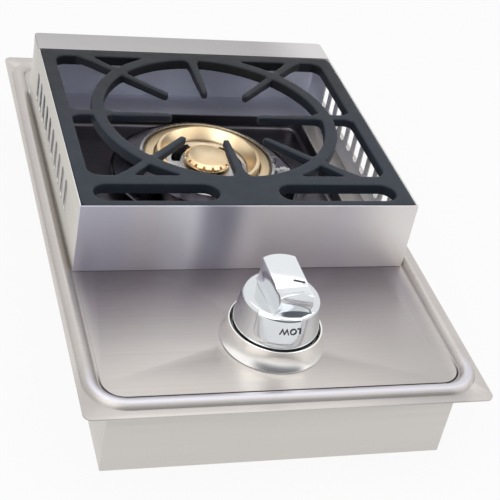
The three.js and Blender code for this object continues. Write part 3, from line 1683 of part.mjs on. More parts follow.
// Bezel and knob
function knobBezel() {
  const footZ = deckTopZ + seam;
  const rimZ = deckTopZ + bezelHeight;
  const bell = (share) => {
    const straight = bezelFootRadius + (bezelRimRadius - bezelFootRadius) * share;
    return straight - 4 * bezelWaist * share * (1 - share);
  };
  const shares = Array.from({ length: bezelSteps + 1 }, (_, i) => i / bezelSteps);
  const outside = shares.map((share) => [bell(share), footZ + (rimZ - footZ) * share]);
  const floorZ = footZ + bezelFloorThickness;
  const inside = shares
    .map((share) => [bell(share) - bezelWall, floorZ + (rimZ - floorZ) * share])
    .reverse();
  const shell = turned(
    [[bezelHoleRadius, footZ], ...outside, ...inside, [bezelHoleRadius, floorZ]],
    fineSides,
  );
  return cut(shell.translate([0, knobY, 0]), ...bezelScrewHoles(footZ - overrun, floorZ + overrun));
}

function bezelScrew(side) {
  const seatZ = deckTopZ + seam + bezelFloorThickness + seam;
  const length = seatZ - (bracketTopZ - bracketGauge);
  return screwDown(
    side * bezelScrewReach,
    knobY,
    seatZ,
    bezelScrewRadius,
    length,
    bezelScrewHeadRadius,
    bezelScrewHead,
  );
}

// The radius of the knob's skirt at a height above the deck.
function skirtRadius(rise) {
  const share = (rise - knobBaseRise) / (knobShoulderRise - knobBaseRise);
  return knobBaseRadius + (knobShoulderRadius - knobBaseRadius) * share;
}

function controlKnob() {
  const hubFootZ = knobFootZ - knobHubDrop;
  const topZ = aboveDeck(knobShoulderRise);
  const roundRise = knobShoulderRise - knobShoulderRound;
  const roundX = skirtRadius(roundRise) - knobShoulderRound;
  const shoulder = Array.from({ length: arcSteps + 1 }, (_, i) => {
    const angle = i / arcSteps * fullTurn / 4;
    return [
      roundX + knobShoulderRound * Math.cos(angle),
      topZ - knobShoulderRound + knobShoulderRound * Math.sin(angle),
    ];
  });
  const skirt = turned([
    [0, hubFootZ],
    [knobHubRadius, hubFootZ],
    [knobHubRadius, knobRoofZ],
    [roundX, knobRoofZ],
    [skirtRadius(roundRise) - knobWall, aboveDeck(roundRise)],
    [knobBaseRadius - knobWall, aboveDeck(knobBaseRise)],
    [knobBaseRadius - knobWall, knobFootZ],
    [knobBaseRadius, knobFootZ],
    [knobBaseRadius, aboveDeck(knobBaseRise)],
    ...shoulder,
    [0, topZ],
  ], fineSides).translate([0, knobY, 0]);
  const boreRadius = clipSleeveRadius + seam;
  const bore = rod([0, knobY, hubFootZ - overrun], [0, knobY, stemTopZ + overrun], boreRadius);
  return cut(join(skirt, knobGrip(), knobTab()), bore);
}

// The raised bar that is held to turn the knob, with hollowed ends.
function knobGrip() {
  const shoulderZ = aboveDeck(knobShoulderRise);
  const topZ = aboveDeck(knobRise);
  const outline = roundedRectangle(gripWidth / 2, gripLength / 2, gripCornerRadius, 0, knobY);
  const bar = castPlate(outline, knobRoofZ + seam, topZ, gripEdge);
  const hollowY = gripLength / 2 + gripScoopRadius - gripScoopDepth;
  const hollows = [-1, 1].map((side) => {
    const y = knobY + side * hollowY;
    return rod([0, y, shoulderZ], [0, y, topZ + overrun], gripScoopRadius, fineSides);
  });
  const scoopY = knobY - gripLength / 2;
  const scoopZ = topZ + gripScoopRadius - gripScoopDepth;
  const scoop = rod(
    [-gripWidth, scoopY, scoopZ],
    [gripWidth, scoopY, scoopZ],
    gripScoopRadius,
    fineSides,
  );
  return cut(bar, ...hollows, scoop);
}

// The raised field on the front of the skirt.
function knobTab() {
  const lowRise = knobTabRise;
  const highRise = knobShoulderRise - knobShoulderRound;
  const field = turned([
    [skirtRadius(lowRise) - knobTabThickness, aboveDeck(lowRise)],
    [skirtRadius(lowRise) + knobTabThickness, aboveDeck(lowRise)],
    [skirtRadius(highRise) + knobTabThickness, aboveDeck(highRise)],
    [skirtRadius(highRise) - knobTabThickness, aboveDeck(highRise)],
  ], fineSides).translate([0, knobY, 0]);
  const halfX = knobTabWidth / 2;
  const window = block(
    [-halfX, knobY - knobBaseRadius - overrun, knobFootZ],
    [halfX, knobY, aboveDeck(knobShoulderRise)],
  );
  return common(field, window);
}

// A flatted sleeve in the knob's hub that grips the stem.
function knobClip() {
  const footZ = clipSleeveFootZ;
  const topZ = stemTopZ - seam;
  const sleeve = rod([0, knobY, footZ], [0, knobY, topZ], clipSleeveRadius);
  return cut(sleeve, stemSolid(stemRadius + seam, footZ - overrun, topZ + overrun));
}

addPiece("knob_bezel", knobBezel(), chrome);
addPiece("bezel_screw_left", bezelScrew(-1), zincPlate);
addPiece("bezel_screw_right", bezelScrew(1), zincPlate);
addPiece("control_knob", controlKnob(), chrome);
addPiece("knob_clip", knobClip(), pressedSteel);

export default sideBurner;
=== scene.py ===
"""A built in side burner in brushed steel, modelled and dressed for a soft studio view.

Every piece is shaped in millimetres in the frame's own axes (x to the right, y to the
rear, z up from the underside of the liner) and turned to metres when it is finished.
"""

import json
import logging
import math
from dataclasses import dataclass
from enum import Enum
from typing import Callable, Sequence

import bmesh
import bpy
from mathutils import Matrix, Vector

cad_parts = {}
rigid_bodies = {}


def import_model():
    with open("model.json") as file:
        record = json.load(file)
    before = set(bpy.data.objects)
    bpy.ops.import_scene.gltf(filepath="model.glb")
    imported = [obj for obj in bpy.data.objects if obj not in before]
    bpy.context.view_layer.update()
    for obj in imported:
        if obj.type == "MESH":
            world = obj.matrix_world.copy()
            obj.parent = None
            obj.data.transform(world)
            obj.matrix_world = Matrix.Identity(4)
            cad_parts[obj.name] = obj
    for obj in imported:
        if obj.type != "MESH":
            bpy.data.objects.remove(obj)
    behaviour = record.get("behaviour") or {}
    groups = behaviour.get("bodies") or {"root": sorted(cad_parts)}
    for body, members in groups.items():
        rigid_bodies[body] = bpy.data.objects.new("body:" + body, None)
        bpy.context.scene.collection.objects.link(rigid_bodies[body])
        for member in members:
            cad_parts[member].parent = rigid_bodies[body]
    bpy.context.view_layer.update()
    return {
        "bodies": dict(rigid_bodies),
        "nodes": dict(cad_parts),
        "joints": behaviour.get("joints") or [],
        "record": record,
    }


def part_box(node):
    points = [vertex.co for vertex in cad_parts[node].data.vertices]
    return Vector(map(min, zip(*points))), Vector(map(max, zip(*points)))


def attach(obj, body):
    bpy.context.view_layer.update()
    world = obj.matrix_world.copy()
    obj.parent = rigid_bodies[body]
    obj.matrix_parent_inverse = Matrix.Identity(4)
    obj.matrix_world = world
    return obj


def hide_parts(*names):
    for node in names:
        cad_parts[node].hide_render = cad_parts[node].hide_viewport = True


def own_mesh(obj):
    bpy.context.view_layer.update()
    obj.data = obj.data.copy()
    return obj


log = logging.getLogger("side_burner")

MM = 0.001
FULL_TURN = 2 * math.pi
QUARTER_TURN = math.pi / 2

# In millimetres: the gap between two pieces, how far a cutter runs past what it cuts, how near
# two points are merged, how near is the same place, and places that several pieces share.
SEAM = 0.2
OVERRUN = 2.0
WELD = 0.0005
NEAR = 0.01
DECK_TOP = 74.6
GRATE_TOP = 140.0
BURNER_CENTRE = (0.0, 52.9)
KNOB_CENTRE = (0.0, -188.0)

Colour = tuple[float, float, float]
Point = tuple[float, float, float]
Flat = tuple[float, float]
Socket = bpy.types.NodeSocket


class Axis(Enum):
    """The three directions of the frame."""

    X = (1, 0, 0)
    Y = (0, 1, 0)
    Z = (0, 0, 1)

    def stretch(self, along: float, across: float) -> Point:
        """Noise cells to the metre for a grain that runs along this axis.

        Args:
            along: Cells to the metre along the grain.
            across: Cells to the metre across it.

        Returns:
            The scale of a mapping node.
        """
        return tuple(along if share else across for share in self.value)

    def tilt(self) -> Point:
        """The turn that lays an upright bar along this axis."""
        return {
            Axis.X: (0.0, QUARTER_TURN, 0.0),
            Axis.Y: (QUARTER_TURN, 0.0, 0.0),
            Axis.Z: (0.0, 0.0, 0.0),
        }[self]


class Pick(Enum):
    """What a selection is made of."""

    POINTS = "VERT"
    EDGES = "EDGE"
    FACES = "FACE"


class Solver(Enum):
    """How a boolean is worked out."""

    EXACT = "EXACT"
    MANIFOLD = "MANIFOLD"


# ---- The bench


def clear_the_bench() -> None:
    """Leaves edit mode and lets go of every object."""
    if bpy.context.mode != "OBJECT":
        bpy.ops.object.mode_set(mode="OBJECT")
    bpy.ops.object.select_all(action="DESELECT")


class Workpiece:
    """A mesh on the bench, in millimetres, with the hand operations that shape it."""

    def __init__(self, name: str) -> None:
        """Takes up the object that was just added.

        Args:
            name: The name of the piece.
        """
        bpy.ops.object.transform_apply(location=True, rotation=True, scale=True)
        self.body = bpy.context.object
        self.body.name = name
        self.body.data.name = name

    @classmethod
    def block(cls, name: str, low: Point, high: Point) -> "Workpiece":
        """A cube that is added at its place and stretched between two corners.

        Args:
            name: The name of the piece.
            low: Its lowest corner.
            high: Its highest corner.

        Returns:
            The new piece.
        """
        clear_the_bench()
        centre = [(a + b) / 2 for a, b in zip(low, high)]
        size = [b - a for a, b in zip(low, high)]
        bpy.ops.mesh.primitive_cube_add(size=1, location=centre, scale=size)
        return cls(name)

    @classmethod
    def bar(
        cls, name: str, start: Point, length: float, radius: float, axis: Axis, sides: int = 64
    ) -> "Workpiece":
        """A round bar that runs from a point along an axis.

        Args:
            name: The name of the piece.
            start: The middle of its first end.
            length: How far it runs, backwards where negative.
            radius: Its radius.
            axis: The axis it runs along.
            sides: How many sides the round has.

        Returns:
            The new piece.
        """
        clear_the_bench()
        centre = [a + length / 2 * share for a, share in zip(start, axis.value)]
        bpy.ops.mesh.primitive_cylinder_add(
            vertices=sides,
            radius=radius,
            depth=abs(length),
            location=centre,
            rotation=axis.tilt(),
        )
        return cls(name)

    @classmethod
    def outline(
        cls, name: str, low: Flat, high: Flat, height: float, corner: float, steps: int = 10
    ) -> "Workpiece":
        """A level face with rounded corners.

        Args:
            name: The name of the piece.
            low: Its lowest x and y.
            high: Its highest x and y.
            height: Its z.
            corner: The radius of its corners.
            steps: How many edges round each corner.

        Returns:
            The new piece.
        """
        clear_the_bench()
        bpy.ops.mesh.primitive_plane_add(
            size=1,
            location=((low[0] + high[0]) / 2, (low[1] + high[1]) / 2, height),
        )
        bpy.context.object.scale = (high[0] - low[0], high[1] - low[1], 1)
        piece = cls(name)
        if corner:
            piece.pick(Pick.POINTS)
            bpy.ops.mesh.bevel(
                affect="VERTICES", offset=corner, segments=steps, clamp_overlap=False
            )
            piece.weld()
        clear_the_bench()
        return piece

    @classmethod
    def slab(
        cls, name: str, low: Point, high: Point, corner: float, steps: int = 10
    ) -> "Workpiece":
        """An upright prism with rounded corners.

        Args:
            name: The name of the piece.
            low: Its lowest corner.
            high: Its highest corner.
            corner: The radius of its upright edges.
            steps: How many sides round each corner.

        Returns:
            The new piece.
        """
        piece = cls.outline(name, low[:2], high[:2], low[2], corner, steps)
        piece.pick(Pick.FACES)
        piece.extrude((0, 0, high[2] - low[2]))
        piece.face_out()
        return piece

    @classmethod
    def drawn(cls, name: str, points: Sequence[Point]) -> "Workpiece":
        """A run of edges, drawn by extruding one point after the other.

        Args:
            name: The name of the piece.
            points: The places the line goes through.

        Returns:
            The new piece.
        """
        clear_the_bench()
        bpy.ops.mesh.primitive_plane_add(size=1)
        piece = cls(name)
        piece.pick(Pick.POINTS)
        bpy.ops.mesh.merge(type="CENTER")
        bpy.ops.transform.translate(value=points[0])
        for before, after in zip(points, points[1:]):
            piece.extrude([b - a for a, b in zip(before, after)])
        return piece

    @classmethod
    def turned(
        cls,
        name: str,
        profile: Sequence[Flat],
        centre: Flat,
        steps: int = 144,
        closed: bool = True,
    ) -> "Workpiece":
        """A section spun about an upright axis.

        Args:
            name: The name of the piece.
            profile: Radius and height of each corner of the section.
            centre: Where the axis stands.
            steps: How many steps the spin has.
            closed: Whether the section comes back to its first corner.

        Returns:
            The new piece.
        """
        ring = list(profile) + ([profile[0]] if closed else [])
        piece = cls.drawn(name, [(centre[0] + r, centre[1], z) for r, z in ring])
        piece.weld()
        bpy.ops.mesh.spin(
            steps=steps, angle=FULL_TURN, center=(centre[0], centre[1], 0), axis=(0, 0, 1)
        )
        piece.face_out()
        return piece

    def take_up(self) -> None:
        """Makes this the one object that is selected and active."""
        clear_the_bench()
        self.body.select_set(True)
        bpy.context.view_layer.objects.active = self.body

    def pick(self, kind: Pick, test: Callable[[Vector, Vector], bool] | None = None) -> None:
        """Goes into edit mode and selects what passes a test, or everything.

        Args:
            kind: Points, edges or faces.
            test: Asked with a place and a direction: a point and its normal, an edge's
                middle and its run, or a face's middle and its normal.
        """
        self.take_up()
        bpy.ops.object.mode_set(mode="EDIT")
        bpy.ops.mesh.select_mode(type=kind.value)
        bpy.ops.mesh.select_all(action="SELECT" if test is None else "DESELECT")
        if test is None:
            return
        shape = bmesh.from_edit_mesh(self.body.data)
        if kind is Pick.POINTS:
            places = [(part, part.co, part.normal) for part in shape.verts]
        elif kind is Pick.EDGES:
            ends = [(part, *(point.co for point in part.verts)) for part in shape.edges]
            places = [(part, (first + last) / 2, last - first) for part, first, last in ends]
        else:
            places = [(part, part.calc_center_median(), part.normal) for part in shape.faces]
        for part, place, way in places:
            if test(place, way):
                part.select_set(True)
        shape.select_flush(True)
        bmesh.update_edit_mesh(self.body.data)

    def weld(self) -> None:
        """Merges doubled points and leaves everything selected."""
        self.pick(Pick.POINTS)
        bpy.ops.mesh.remove_doubles(threshold=WELD)
        bpy.ops.mesh.select_all(action="SELECT")

    def extrude(self, step: Sequence[float]) -> None:
        """Extrudes the selection by a step in x, y and z."""
        bpy.ops.mesh.extrude_region_move(TRANSFORM_OT_translate={"value": tuple(step)})

    def inset(self, thickness: float, rise: float = 0.0) -> None:
        """Insets the selected faces, and lifts them by a rise."""
        bpy.ops.mesh.inset(thickness=thickness, depth=rise, use_boundary=True)

    def face_out(self) -> None:
        """Merges doubled points and turns every face outwards."""
        self.weld()
        bpy.ops.mesh.normals_make_consistent(inside=False)
        clear_the_bench()

    def face_by(self, measure: Callable[[Vector, Vector], float]) -> None:
        """Turns a sheet over if its faces look the wrong way on the whole.

        Args:
            measure: Asked with each face's middle and normal; its sum is to be positive.
        """
        self.pick(Pick.FACES)
        faces = bmesh.from_edit_mesh(self.body.data).faces
        if sum(measure(face.calc_center_median(), face.normal) for face in faces) < 0:
            bpy.ops.mesh.flip_normals()

    def thicken(self, gauge: float) -> None:
        """Gives a sheet its thickness, behind the side that it faces."""
        self.modify("SOLIDIFY", thickness=gauge, offset=-1)

    def modify(self, kind: str, **settings: object) -> None:
        """Adds a modifier and applies it.

        Args:
            kind: Blender's type of the modifier.
            **settings: Its settings by name.
        """
        self.take_up()
        modifier = self.body.modifiers.new(kind.title(), kind)
        for name, value in settings.items():
            setattr(modifier, name, value)
        bpy.ops.object.modifier_apply(modifier=modifier.name)

    def cut(self, *tools: "Workpiece", solver: Solver = Solver.EXACT) -> None:
        """Takes the shape of each tool away, and puts the tools aside."""
        self._combine("DIFFERENCE", tools, solver)

    def fuse(self, *others: "Workpiece") -> None:
        """Makes one closed body of this piece and the others."""
        self._combine("UNION", others, Solver.EXACT)

    def _combine(self, operation: str, tools: Sequence["Workpiece"], solver: Solver) -> None:
        """Applies a boolean with each tool, and puts the tools aside.

        Args:
            operation: Blender's name of the boolean.
            tools: The pieces to combine with.
            solver: How the boolean is worked out.
        """
        for tool in tools:
            self.modify("BOOLEAN", operation=operation, object=tool.body, solver=solver.value)
            bpy.data.objects.remove(tool.body, do_unlink=True)

    def add(self, *others: "Workpiece") -> None:
        """Puts other meshes into this object, as they are."""
        clear_the_bench()
        for other in others:
            other.body.select_set(True)
        self.body.select_set(True)
        bpy.context.view_layer.objects.active = self.body
        bpy.ops.object.join()

    def copy(self, name: str, placed: Matrix) -> "Workpiece":
        """A copy with its own mesh, moved by a matrix.

        Args:
            name: The name of the copy.
            placed: The move.

        Returns:
            The copy.
        """
        twin = object.__new__(Workpiece)
        twin.body = self.body.copy()
        twin.body.data = self.body.data.copy()
        twin.body.name = name
        twin.body.data.name = name
        twin.body.data.transform(placed)
        bpy.context.scene.collection.objects.link(twin.body)
        return twin

    def place(self, centre: Flat, angle: float = 0.0) -> None:
        """Turns the mesh about the upright axis through the origin, then moves it.

        Args:
            centre: Where the axis goes.
            angle: The turn, in radians.
        """
        clear_the_bench()
        turn = Matrix.Rotation(angle, 4, "Z")
        self.body.data.transform(Matrix.Translation((*centre, 0)) @ turn)

    def repeat_round(self, count: int, centre: Flat) -> "Workpiece":
        """Copies this piece round the upright axis through the origin, then moves the lot.

        Args:
            count: How many there are in all.
            centre: Where the axis goes.

        Returns:
            This piece, with the copies in it.
        """
        copies = [
            self.copy(f"{self.body.name}_{i}", Matrix.Rotation(i * FULL_TURN / count, 4, "Z"))
            for i in range(1, count)
        ]
        self.add(*copies)
        self.place(centre)
        return self

    def soften(self, width: float, steps: int = 3, angle: float = 35) -> None:
        """Rounds every edge that is sharper than an angle.

        Args:
            width: The width of the rounding.
            steps: How many faces it has.
            angle: The angle, in degrees.
        """
        self.modify(
            "BEVEL",
            width=width,
            segments=steps,
            limit_method="ANGLE",
            angle_limit=math.radians(angle),
            use_clamp_overlap=True,
            miter_outer="MITER_ARC",
        )

    def set_in_frame(
        self,
        body: str,
        slot: str,
        finish: "Finish",
        replaces: Sequence[str] = (),
        smooth_to: float = 32,
    ) -> bpy.types.Object:
        """Turns the piece to metres, dresses it and hangs it on its body.

        Args:
            body: The body that it moves with.
            slot: The record's slot that its finish stands for; it is not used.
            finish: What it is covered with.
            replaces: The frame's nodes that it stands for.
            smooth_to: Edges flatter than this many degrees are shaded smooth.

        Returns:
            The finished object.
        """
        self.take_up()
        self.body.data.transform(Matrix.Scale(MM, 4))
        bpy.ops.object.shade_smooth_by_angle(angle=math.radians(smooth_to))
        self.body.data.materials.clear()
        self.body.data.materials.append(finish.material())
        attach(self.body, body)
        if replaces:
            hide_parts(*replaces)
        log.info("%s: %d faces", self.body.name, len(self.body.data.polygons))
        clear_the_bench()
        return self.body


# ---- Finishes


def painted(red: int, green: int, blue: int) -> Colour:
    """A colour as it is seen on a screen, turned to the linear values of a shader.

    Args:
        red: 0 to 255.
        green: 0 to 255.
        blue: 0 to 255.

    Returns:
        The linear colour.
    """

    def linear(value: int) -> float:
        """One channel, linear."""
        share = value / 255
        return share / 12.92 if share <= 0.04045 else ((share + 0.055) / 1.055) ** 2.4

    return linear(red), linear(green), linear(blue)


class NodeBoard:
    """The nodes of a material or of the world, with short ways to add and join them."""

    def __init__(self, owner: bpy.types.Material | bpy.types.World) -> None:
        """Clears the nodes.

        Args:
            owner: The material or the world that they belong to.
        """
        owner.use_nodes = True
        self.owner = owner
        self.tree = owner.node_tree
        self.tree.nodes.clear()

    def add(
        self, kind: str, inputs: dict[str | int, object] | None = None, **settings: object
    ) -> bpy.types.Node:
        """A new node.

        Args:
            kind: Blender's type of the node.
            inputs: A value or another node's output for its inputs, by name or number.
            **settings: Its settings by name.

        Returns:
            The node.
        """
        node = self.tree.nodes.new(kind)
        for name, value in settings.items():
            setattr(node, name, value)
        self.feed(node, inputs or {})
        return node

    def feed(self, node: bpy.types.Node, inputs: dict[str | int, object]) -> None:
        """Sets inputs of a node, or links them where what they get is an output.

        Args:
            node: The node.
            inputs: What its inputs get, by name or number.
        """
        for name, value in inputs.items():
            if isinstance(value, Socket):
                self.tree.links.new(value, node.inputs[name])
            else:
                node.inputs[name].default_value = value

    def combine(self, first: Socket, second: Socket | float, operation: str = "ADD") -> Socket:
        """Two values joined by a sum, product or other operation."""
        return self.add("ShaderNodeMath", {0: first, 1: second}, operation=operation).outputs[0]

    def spread(
        self,
        source: Socket,
        low: float,
        high: float,
        start: float = 0.32,
        end: float = 0.68,
        way: str = "LINEAR",
    ) -> Socket:
        """Maps one range of values to another.

        Args:
            source: The value.
            low: What it becomes at the start.
            high: What it becomes at the end.
            start: Where the first range starts.
            end: Where the first range ends.
            way: Blender's name for how it goes between them.

        Returns:
            The mapped value.
        """
        inputs = {"From Min": start, "From Max": end, "To Min": low, "To Max": high}
        inputs["Value"] = source
        node = self.add("ShaderNodeMapRange", inputs, clamp=True, interpolation_type=way)
        return node.outputs["Result"]

    def place(self, axis: Axis) -> Socket:
        """Where a point lies along one of the object's own axes."""
        own = self.add("ShaderNodeTexCoord").outputs["Object"]
        return self.add("ShaderNodeSeparateXYZ", {0: own}).outputs[axis.name]

    def seen_directly(self) -> Socket:
        """1 for what the camera sees, straight or by way of metal and glass."""
        rays = self.add("ShaderNodeLightPath").outputs
        both = self.combine(rays["Is Camera Ray"], rays["Is Glossy Ray"], "MAXIMUM")
        return self.combine(both, rays["Is Transmission Ray"], "MAXIMUM")

    def show(
        self,
        share: Socket,
        first: bpy.types.Node,
        second: bpy.types.Node,
        output: str = "ShaderNodeOutputMaterial",
    ) -> None:
        """Mixes two shaders by a share and sends the mix to the output.

        Args:
            share: 0 for the first shader, 1 for the second.
            first: The first shader.
            second: The second shader.
            output: Blender's type of the output node.
        """
        parts = {0: share, 1: first.outputs[0], 2: second.outputs[0]}
        mix = self.add("ShaderNodeMixShader", parts)
        self.add(output, {"Surface": mix.outputs[0]})


class FinishBoard(NodeBoard):
    """The nodes of one finish, round a shader."""

    def __init__(self, name: str, metallic: float) -> None:
        """Starts a material with one shader.

        Args:
            name: The name of the material.
            metallic: 1 for a bare metal, 0 for anything else.
        """
        super().__init__(bpy.data.materials.new(name))
        self.shader = self.add("ShaderNodeBsdfPrincipled", {"Metallic": metallic})
        self.add("ShaderNodeOutputMaterial", {"Surface": self.shader.outputs["BSDF"]})

    def noise(self, cells: Point, detail: float, rough: float) -> Socket:
        """Noise over the object's own coordinates.

        Args:
            cells: Cells to the metre along x, y and z.
            detail: How many finer layers it has.
            rough: How strong the finer layers are.

        Returns:
            The noise, about 0.5 in the middle.
        """
        own = self.add("ShaderNodeTexCoord").outputs["Object"]
        mapping = self.add("ShaderNodeMapping", {"Vector": own, "Scale": cells})
        inputs = {"Vector": mapping.outputs["Vector"], "Detail": detail, "Roughness": rough}
        return self.add("ShaderNodeTexNoise", {"Scale": 1.0, **inputs}).outputs["Fac"]

    def tint(self, share: Socket, first: Colour | Socket, second: Colour) -> Socket:
        """A colour between two, by a share from 0 to 1."""
        start = first if isinstance(first, Socket) else (*first, 1)
        inputs = {0: share, 6: start, 7: (*second, 1)}
        return self.add("ShaderNodeMix", inputs, data_type="RGBA").outputs[2]

    def along(self, axis: Axis, start: float, end: float) -> Socket:
        """A share that goes from 0 to 1 between two places along an axis.

        Args:
            axis: The axis.
            start: Where the share is 0, in metres.
            end: Where it is 1.

        Returns:
            The share, eased at both ends.
        """
        low, high = float(start > end), float(start < end)
        first, last = min(start, end), max(start, end)
        return self.spread(self.place(axis), low, high, first, last, "SMOOTHSTEP")

    def smear(self, grain: Axis, share: float) -> None:
        """Spreads reflections across a grain.

        Args:
            grain: The axis that the grain runs along.
            share: How much further they spread across it than along it.
        """
        run = self.add("ShaderNodeCombineXYZ", dict(zip("XYZ", grain.value))).outputs[0]
        inputs = {"Tangent": run, "Anisotropic": share, "Anisotropic Rotation": 0.25}
        self.feed(self.shader, inputs)

    def worn_edge_highlight(self, start: float = 0.52, end: float = 0.6) -> Socket:
        """A share that is 1 on the rounded edges, where hands and cloths rub and where a highlight
        is painted.
        """
        geometry = self.add("ShaderNodeNewGeometry")
        return self.spread(geometry.outputs["Pointiness"], 0.0, 1.0, start, end)

    def relief(self, height: Socket, strength: float, depth: float) -> None:
        """Bumps the surface.

        Args:
            height: The height of the relief, 0 to 1.
            strength: How much of it is seen.
            depth: How deep it is, in metres.
        """
        inputs = {"Strength": strength, "Distance": depth, "Height": height}
        bump = self.add("ShaderNodeBump", inputs)
        self.feed(self.shader, {"Normal": bump.outputs["Normal"]})

    def colour(self, source: Socket) -> None:
        """Links the colour of the surface."""
        self.feed(self.shader, {"Base Color": source})

    def roughness(self, source: Socket) -> None:
        """Links how dull the surface is."""
        self.feed(self.shader, {"Roughness": source})


@dataclass(frozen=True)
class Finish:
    """What a surface is covered with; each kind of finish builds its own nodes.

    Attributes:
        name: The name of the material.
        base: Its main colour.
        deep: The darker or duller tone that it varies to.
    """

    name: str
    base: Colour
    deep: Colour

    def material(self) -> bpy.types.Material:
        """The material, built the first time that it is asked for."""
        found = bpy.data.materials.get(self.name)
        return found if found else self.nodes().owner

    def nodes(self) -> FinishBoard:
        """Builds the nodes of the finish."""
        raise NotImplementedError


@dataclass(frozen=True)
class PaintedLight:
    """A patch of painted light and shade on a part of a sheet: painted highlights, reflections and
    shadows.

    Attributes:
        colour: The colour of the full tint.
        rises: Where it comes in: an axis, where it starts and where it is full, in metres.
    """

    colour: Colour
    rises: tuple[tuple[Axis, float, float], ...]

    def lay(self, board: FinishBoard, body: Socket) -> Socket:
        """Lays the tint over a colour.

        Args:
            board: The nodes of the material.
            body: The colour under it.

        Returns:
            The tinted colour.
        """
        share = board.along(*self.rises[0])
        for rise in self.rises[1:]:
            share = board.combine(share, board.along(*rise), "MULTIPLY")
        return board.tint(share, body, self.colour)


@dataclass(frozen=True)
class BrushedSteel(Finish):
    """Stainless steel with a brushed grain.

    Attributes:
        grain: The axis that the brush ran along.
        dull: The roughness in the middle of its range.
        band_run: The axis that the wide soft bands run along.
        bands: Bands to the metre.
        band_share: How strong the bands are beside the fine strands.
        smear: How far the grain spreads a reflection across itself.
        tones: Painted light and shade that lie over parts of the sheet.
    """

    grain: Axis = Axis.X
    dull: float = 0.38
    band_run: Axis = Axis.X
    bands: float = 22.0
    band_share: float = 0.5
    smear: float = 0.7
    tones: tuple[PaintedLight, ...] = ()

    def nodes(self) -> FinishBoard:
        """Grain in the colour, the gloss and the relief, and brighter edges, worn and with a
        painted highlight.
        """
        board = FinishBoard(self.name, 1.0)
        hairs = board.noise(self.grain.stretch(12, 2600), 3, 0.7)
        strands = board.noise(self.grain.stretch(5, 520), 3, 0.6)
        bands = board.noise(self.band_run.stretch(1.5, self.bands), 2, 0.5)
        streaks = board.combine(
            board.spread(strands, 0.0, 1 - self.band_share),
            board.spread(bands, 0.0, self.band_share),
        )
        body = board.tint(streaks, self.base, self.deep)
        # Brighter edges: worn, and with a painted highlight along them.
        bright = tuple(min(1.0, share * 1.12) for share in self.base)
        body = board.tint(board.worn_edge_highlight(), body, bright)
        # Painted light and shade: the tones lie over the colour.
        for tone in self.tones:
            body = tone.lay(board, body)
        board.colour(body)
        board.roughness(
            board.combine(
                board.spread(hairs, self.dull - 0.05, self.dull + 0.03),
                board.spread(strands, 0.0, 0.05),
            )
        )
        board.relief(hairs, 0.12, 0.00004)
        board.smear(self.grain, self.smear)
        return board


@dataclass(frozen=True)
class CastMetal(Finish):
    """Metal with the skin of a sand mould.

    Attributes:
        metallic: 1 for bare metal, less for a coat over it.
        dull: The roughness in the middle of its range.
        grain_size: Grains of the skin to the metre.
        relief_depth: How deep the skin is, in metres.
        edge: The colour of the lighter edges, worn and with a painted highlight.
        shine: The specular level.
        rear_shade: Where the painted shade towards the rear starts and where it is full, along y,
            in metres.
    """

    metallic: float = 1.0
    dull: float = 0.45
    grain_size: float = 700.0
    relief_depth: float = 0.00012
    edge: Colour = (0.5, 0.5, 0.5)
    shine: float = 0.5
    rear_shade: Flat | None = None

    def nodes(self) -> FinishBoard:
        """A grainy skin with soft blotches, lighter edges that are worn and carry a painted
        highlight, and a painted shade towards the rear where one is asked for.
        """
        board = FinishBoard(self.name, self.metallic)
        grains = board.noise((self.grain_size,) * 3, 4, 0.6)
        blotches = board.noise((60, 60, 60), 4, 0.6)
        share = board.spread(blotches, 0.0, 1.0)
        # Painted shade: darker towards the rear, broken up by the blotches.
        if self.rear_shade:
            faint = board.spread(blotches, 0.85, 1.0)
            rear_shade_share = board.combine(board.along(Axis.Y, *self.rear_shade), faint)
            share = board.spread(rear_shade_share, 0.0, 1.0, 0.85, 2.0)
        body = board.tint(share, self.base, self.deep)
        board.shader.inputs["Specular IOR Level"].default_value = self.shine
        # Lighter edges: worn, and with a painted highlight along them.
        worn_and_highlit = board.combine(board.worn_edge_highlight(0.53, 0.64), board.spread(grains, 0.3, 1.0), "MULTIPLY")
        board.colour(board.tint(worn_and_highlit, body, self.edge))
        board.roughness(
            board.combine(
                board.spread(grains, self.dull - 0.06, self.dull + 0.06),
                board.spread(blotches, -0.04, 0.04),
            )
        )
        board.relief(grains, 0.45, self.relief_depth)
        return board


@dataclass(frozen=True)
class TurnedMetal(Finish):
    """Metal polished or turned on a lathe: brass, chrome or zinc.

    Attributes:
        dull: The roughness in the middle of its range.
        stain_cells: Blotches of stain to the metre.
        stain_share: How far the stain goes to the deeper tone.
        scratch_depth: How deep the fine scratches are, in metres.
    """

    dull: float = 0.18
    stain_cells: float = 45.0
    stain_share: float = 0.5
    scratch_depth: float = 0.00002

    def nodes(self) -> FinishBoard:
        """Fine scratches, soft stains and a brighter edge, worn and with a painted highlight."""
        board = FinishBoard(self.name, 1.0)
        scratches = board.noise((1500, 1500, 380), 3, 0.6)
        stains = board.noise((self.stain_cells,) * 3, 3, 0.5)
        body = board.tint(board.spread(stains, 0.0, self.stain_share), self.base, self.deep)
        # Brighter edges: worn, and with a painted highlight along them.
        bright = tuple(min(1.0, share * 1.08) for share in self.base)
        board.colour(board.tint(board.worn_edge_highlight(0.53, 0.62), body, bright))
        board.roughness(
            board.combine(
                board.spread(scratches, self.dull - 0.03, self.dull + 0.03),
                board.spread(stains, 0.0, 0.05),
            )
        )
        board.relief(scratches, 0.15, self.scratch_depth)
        return board


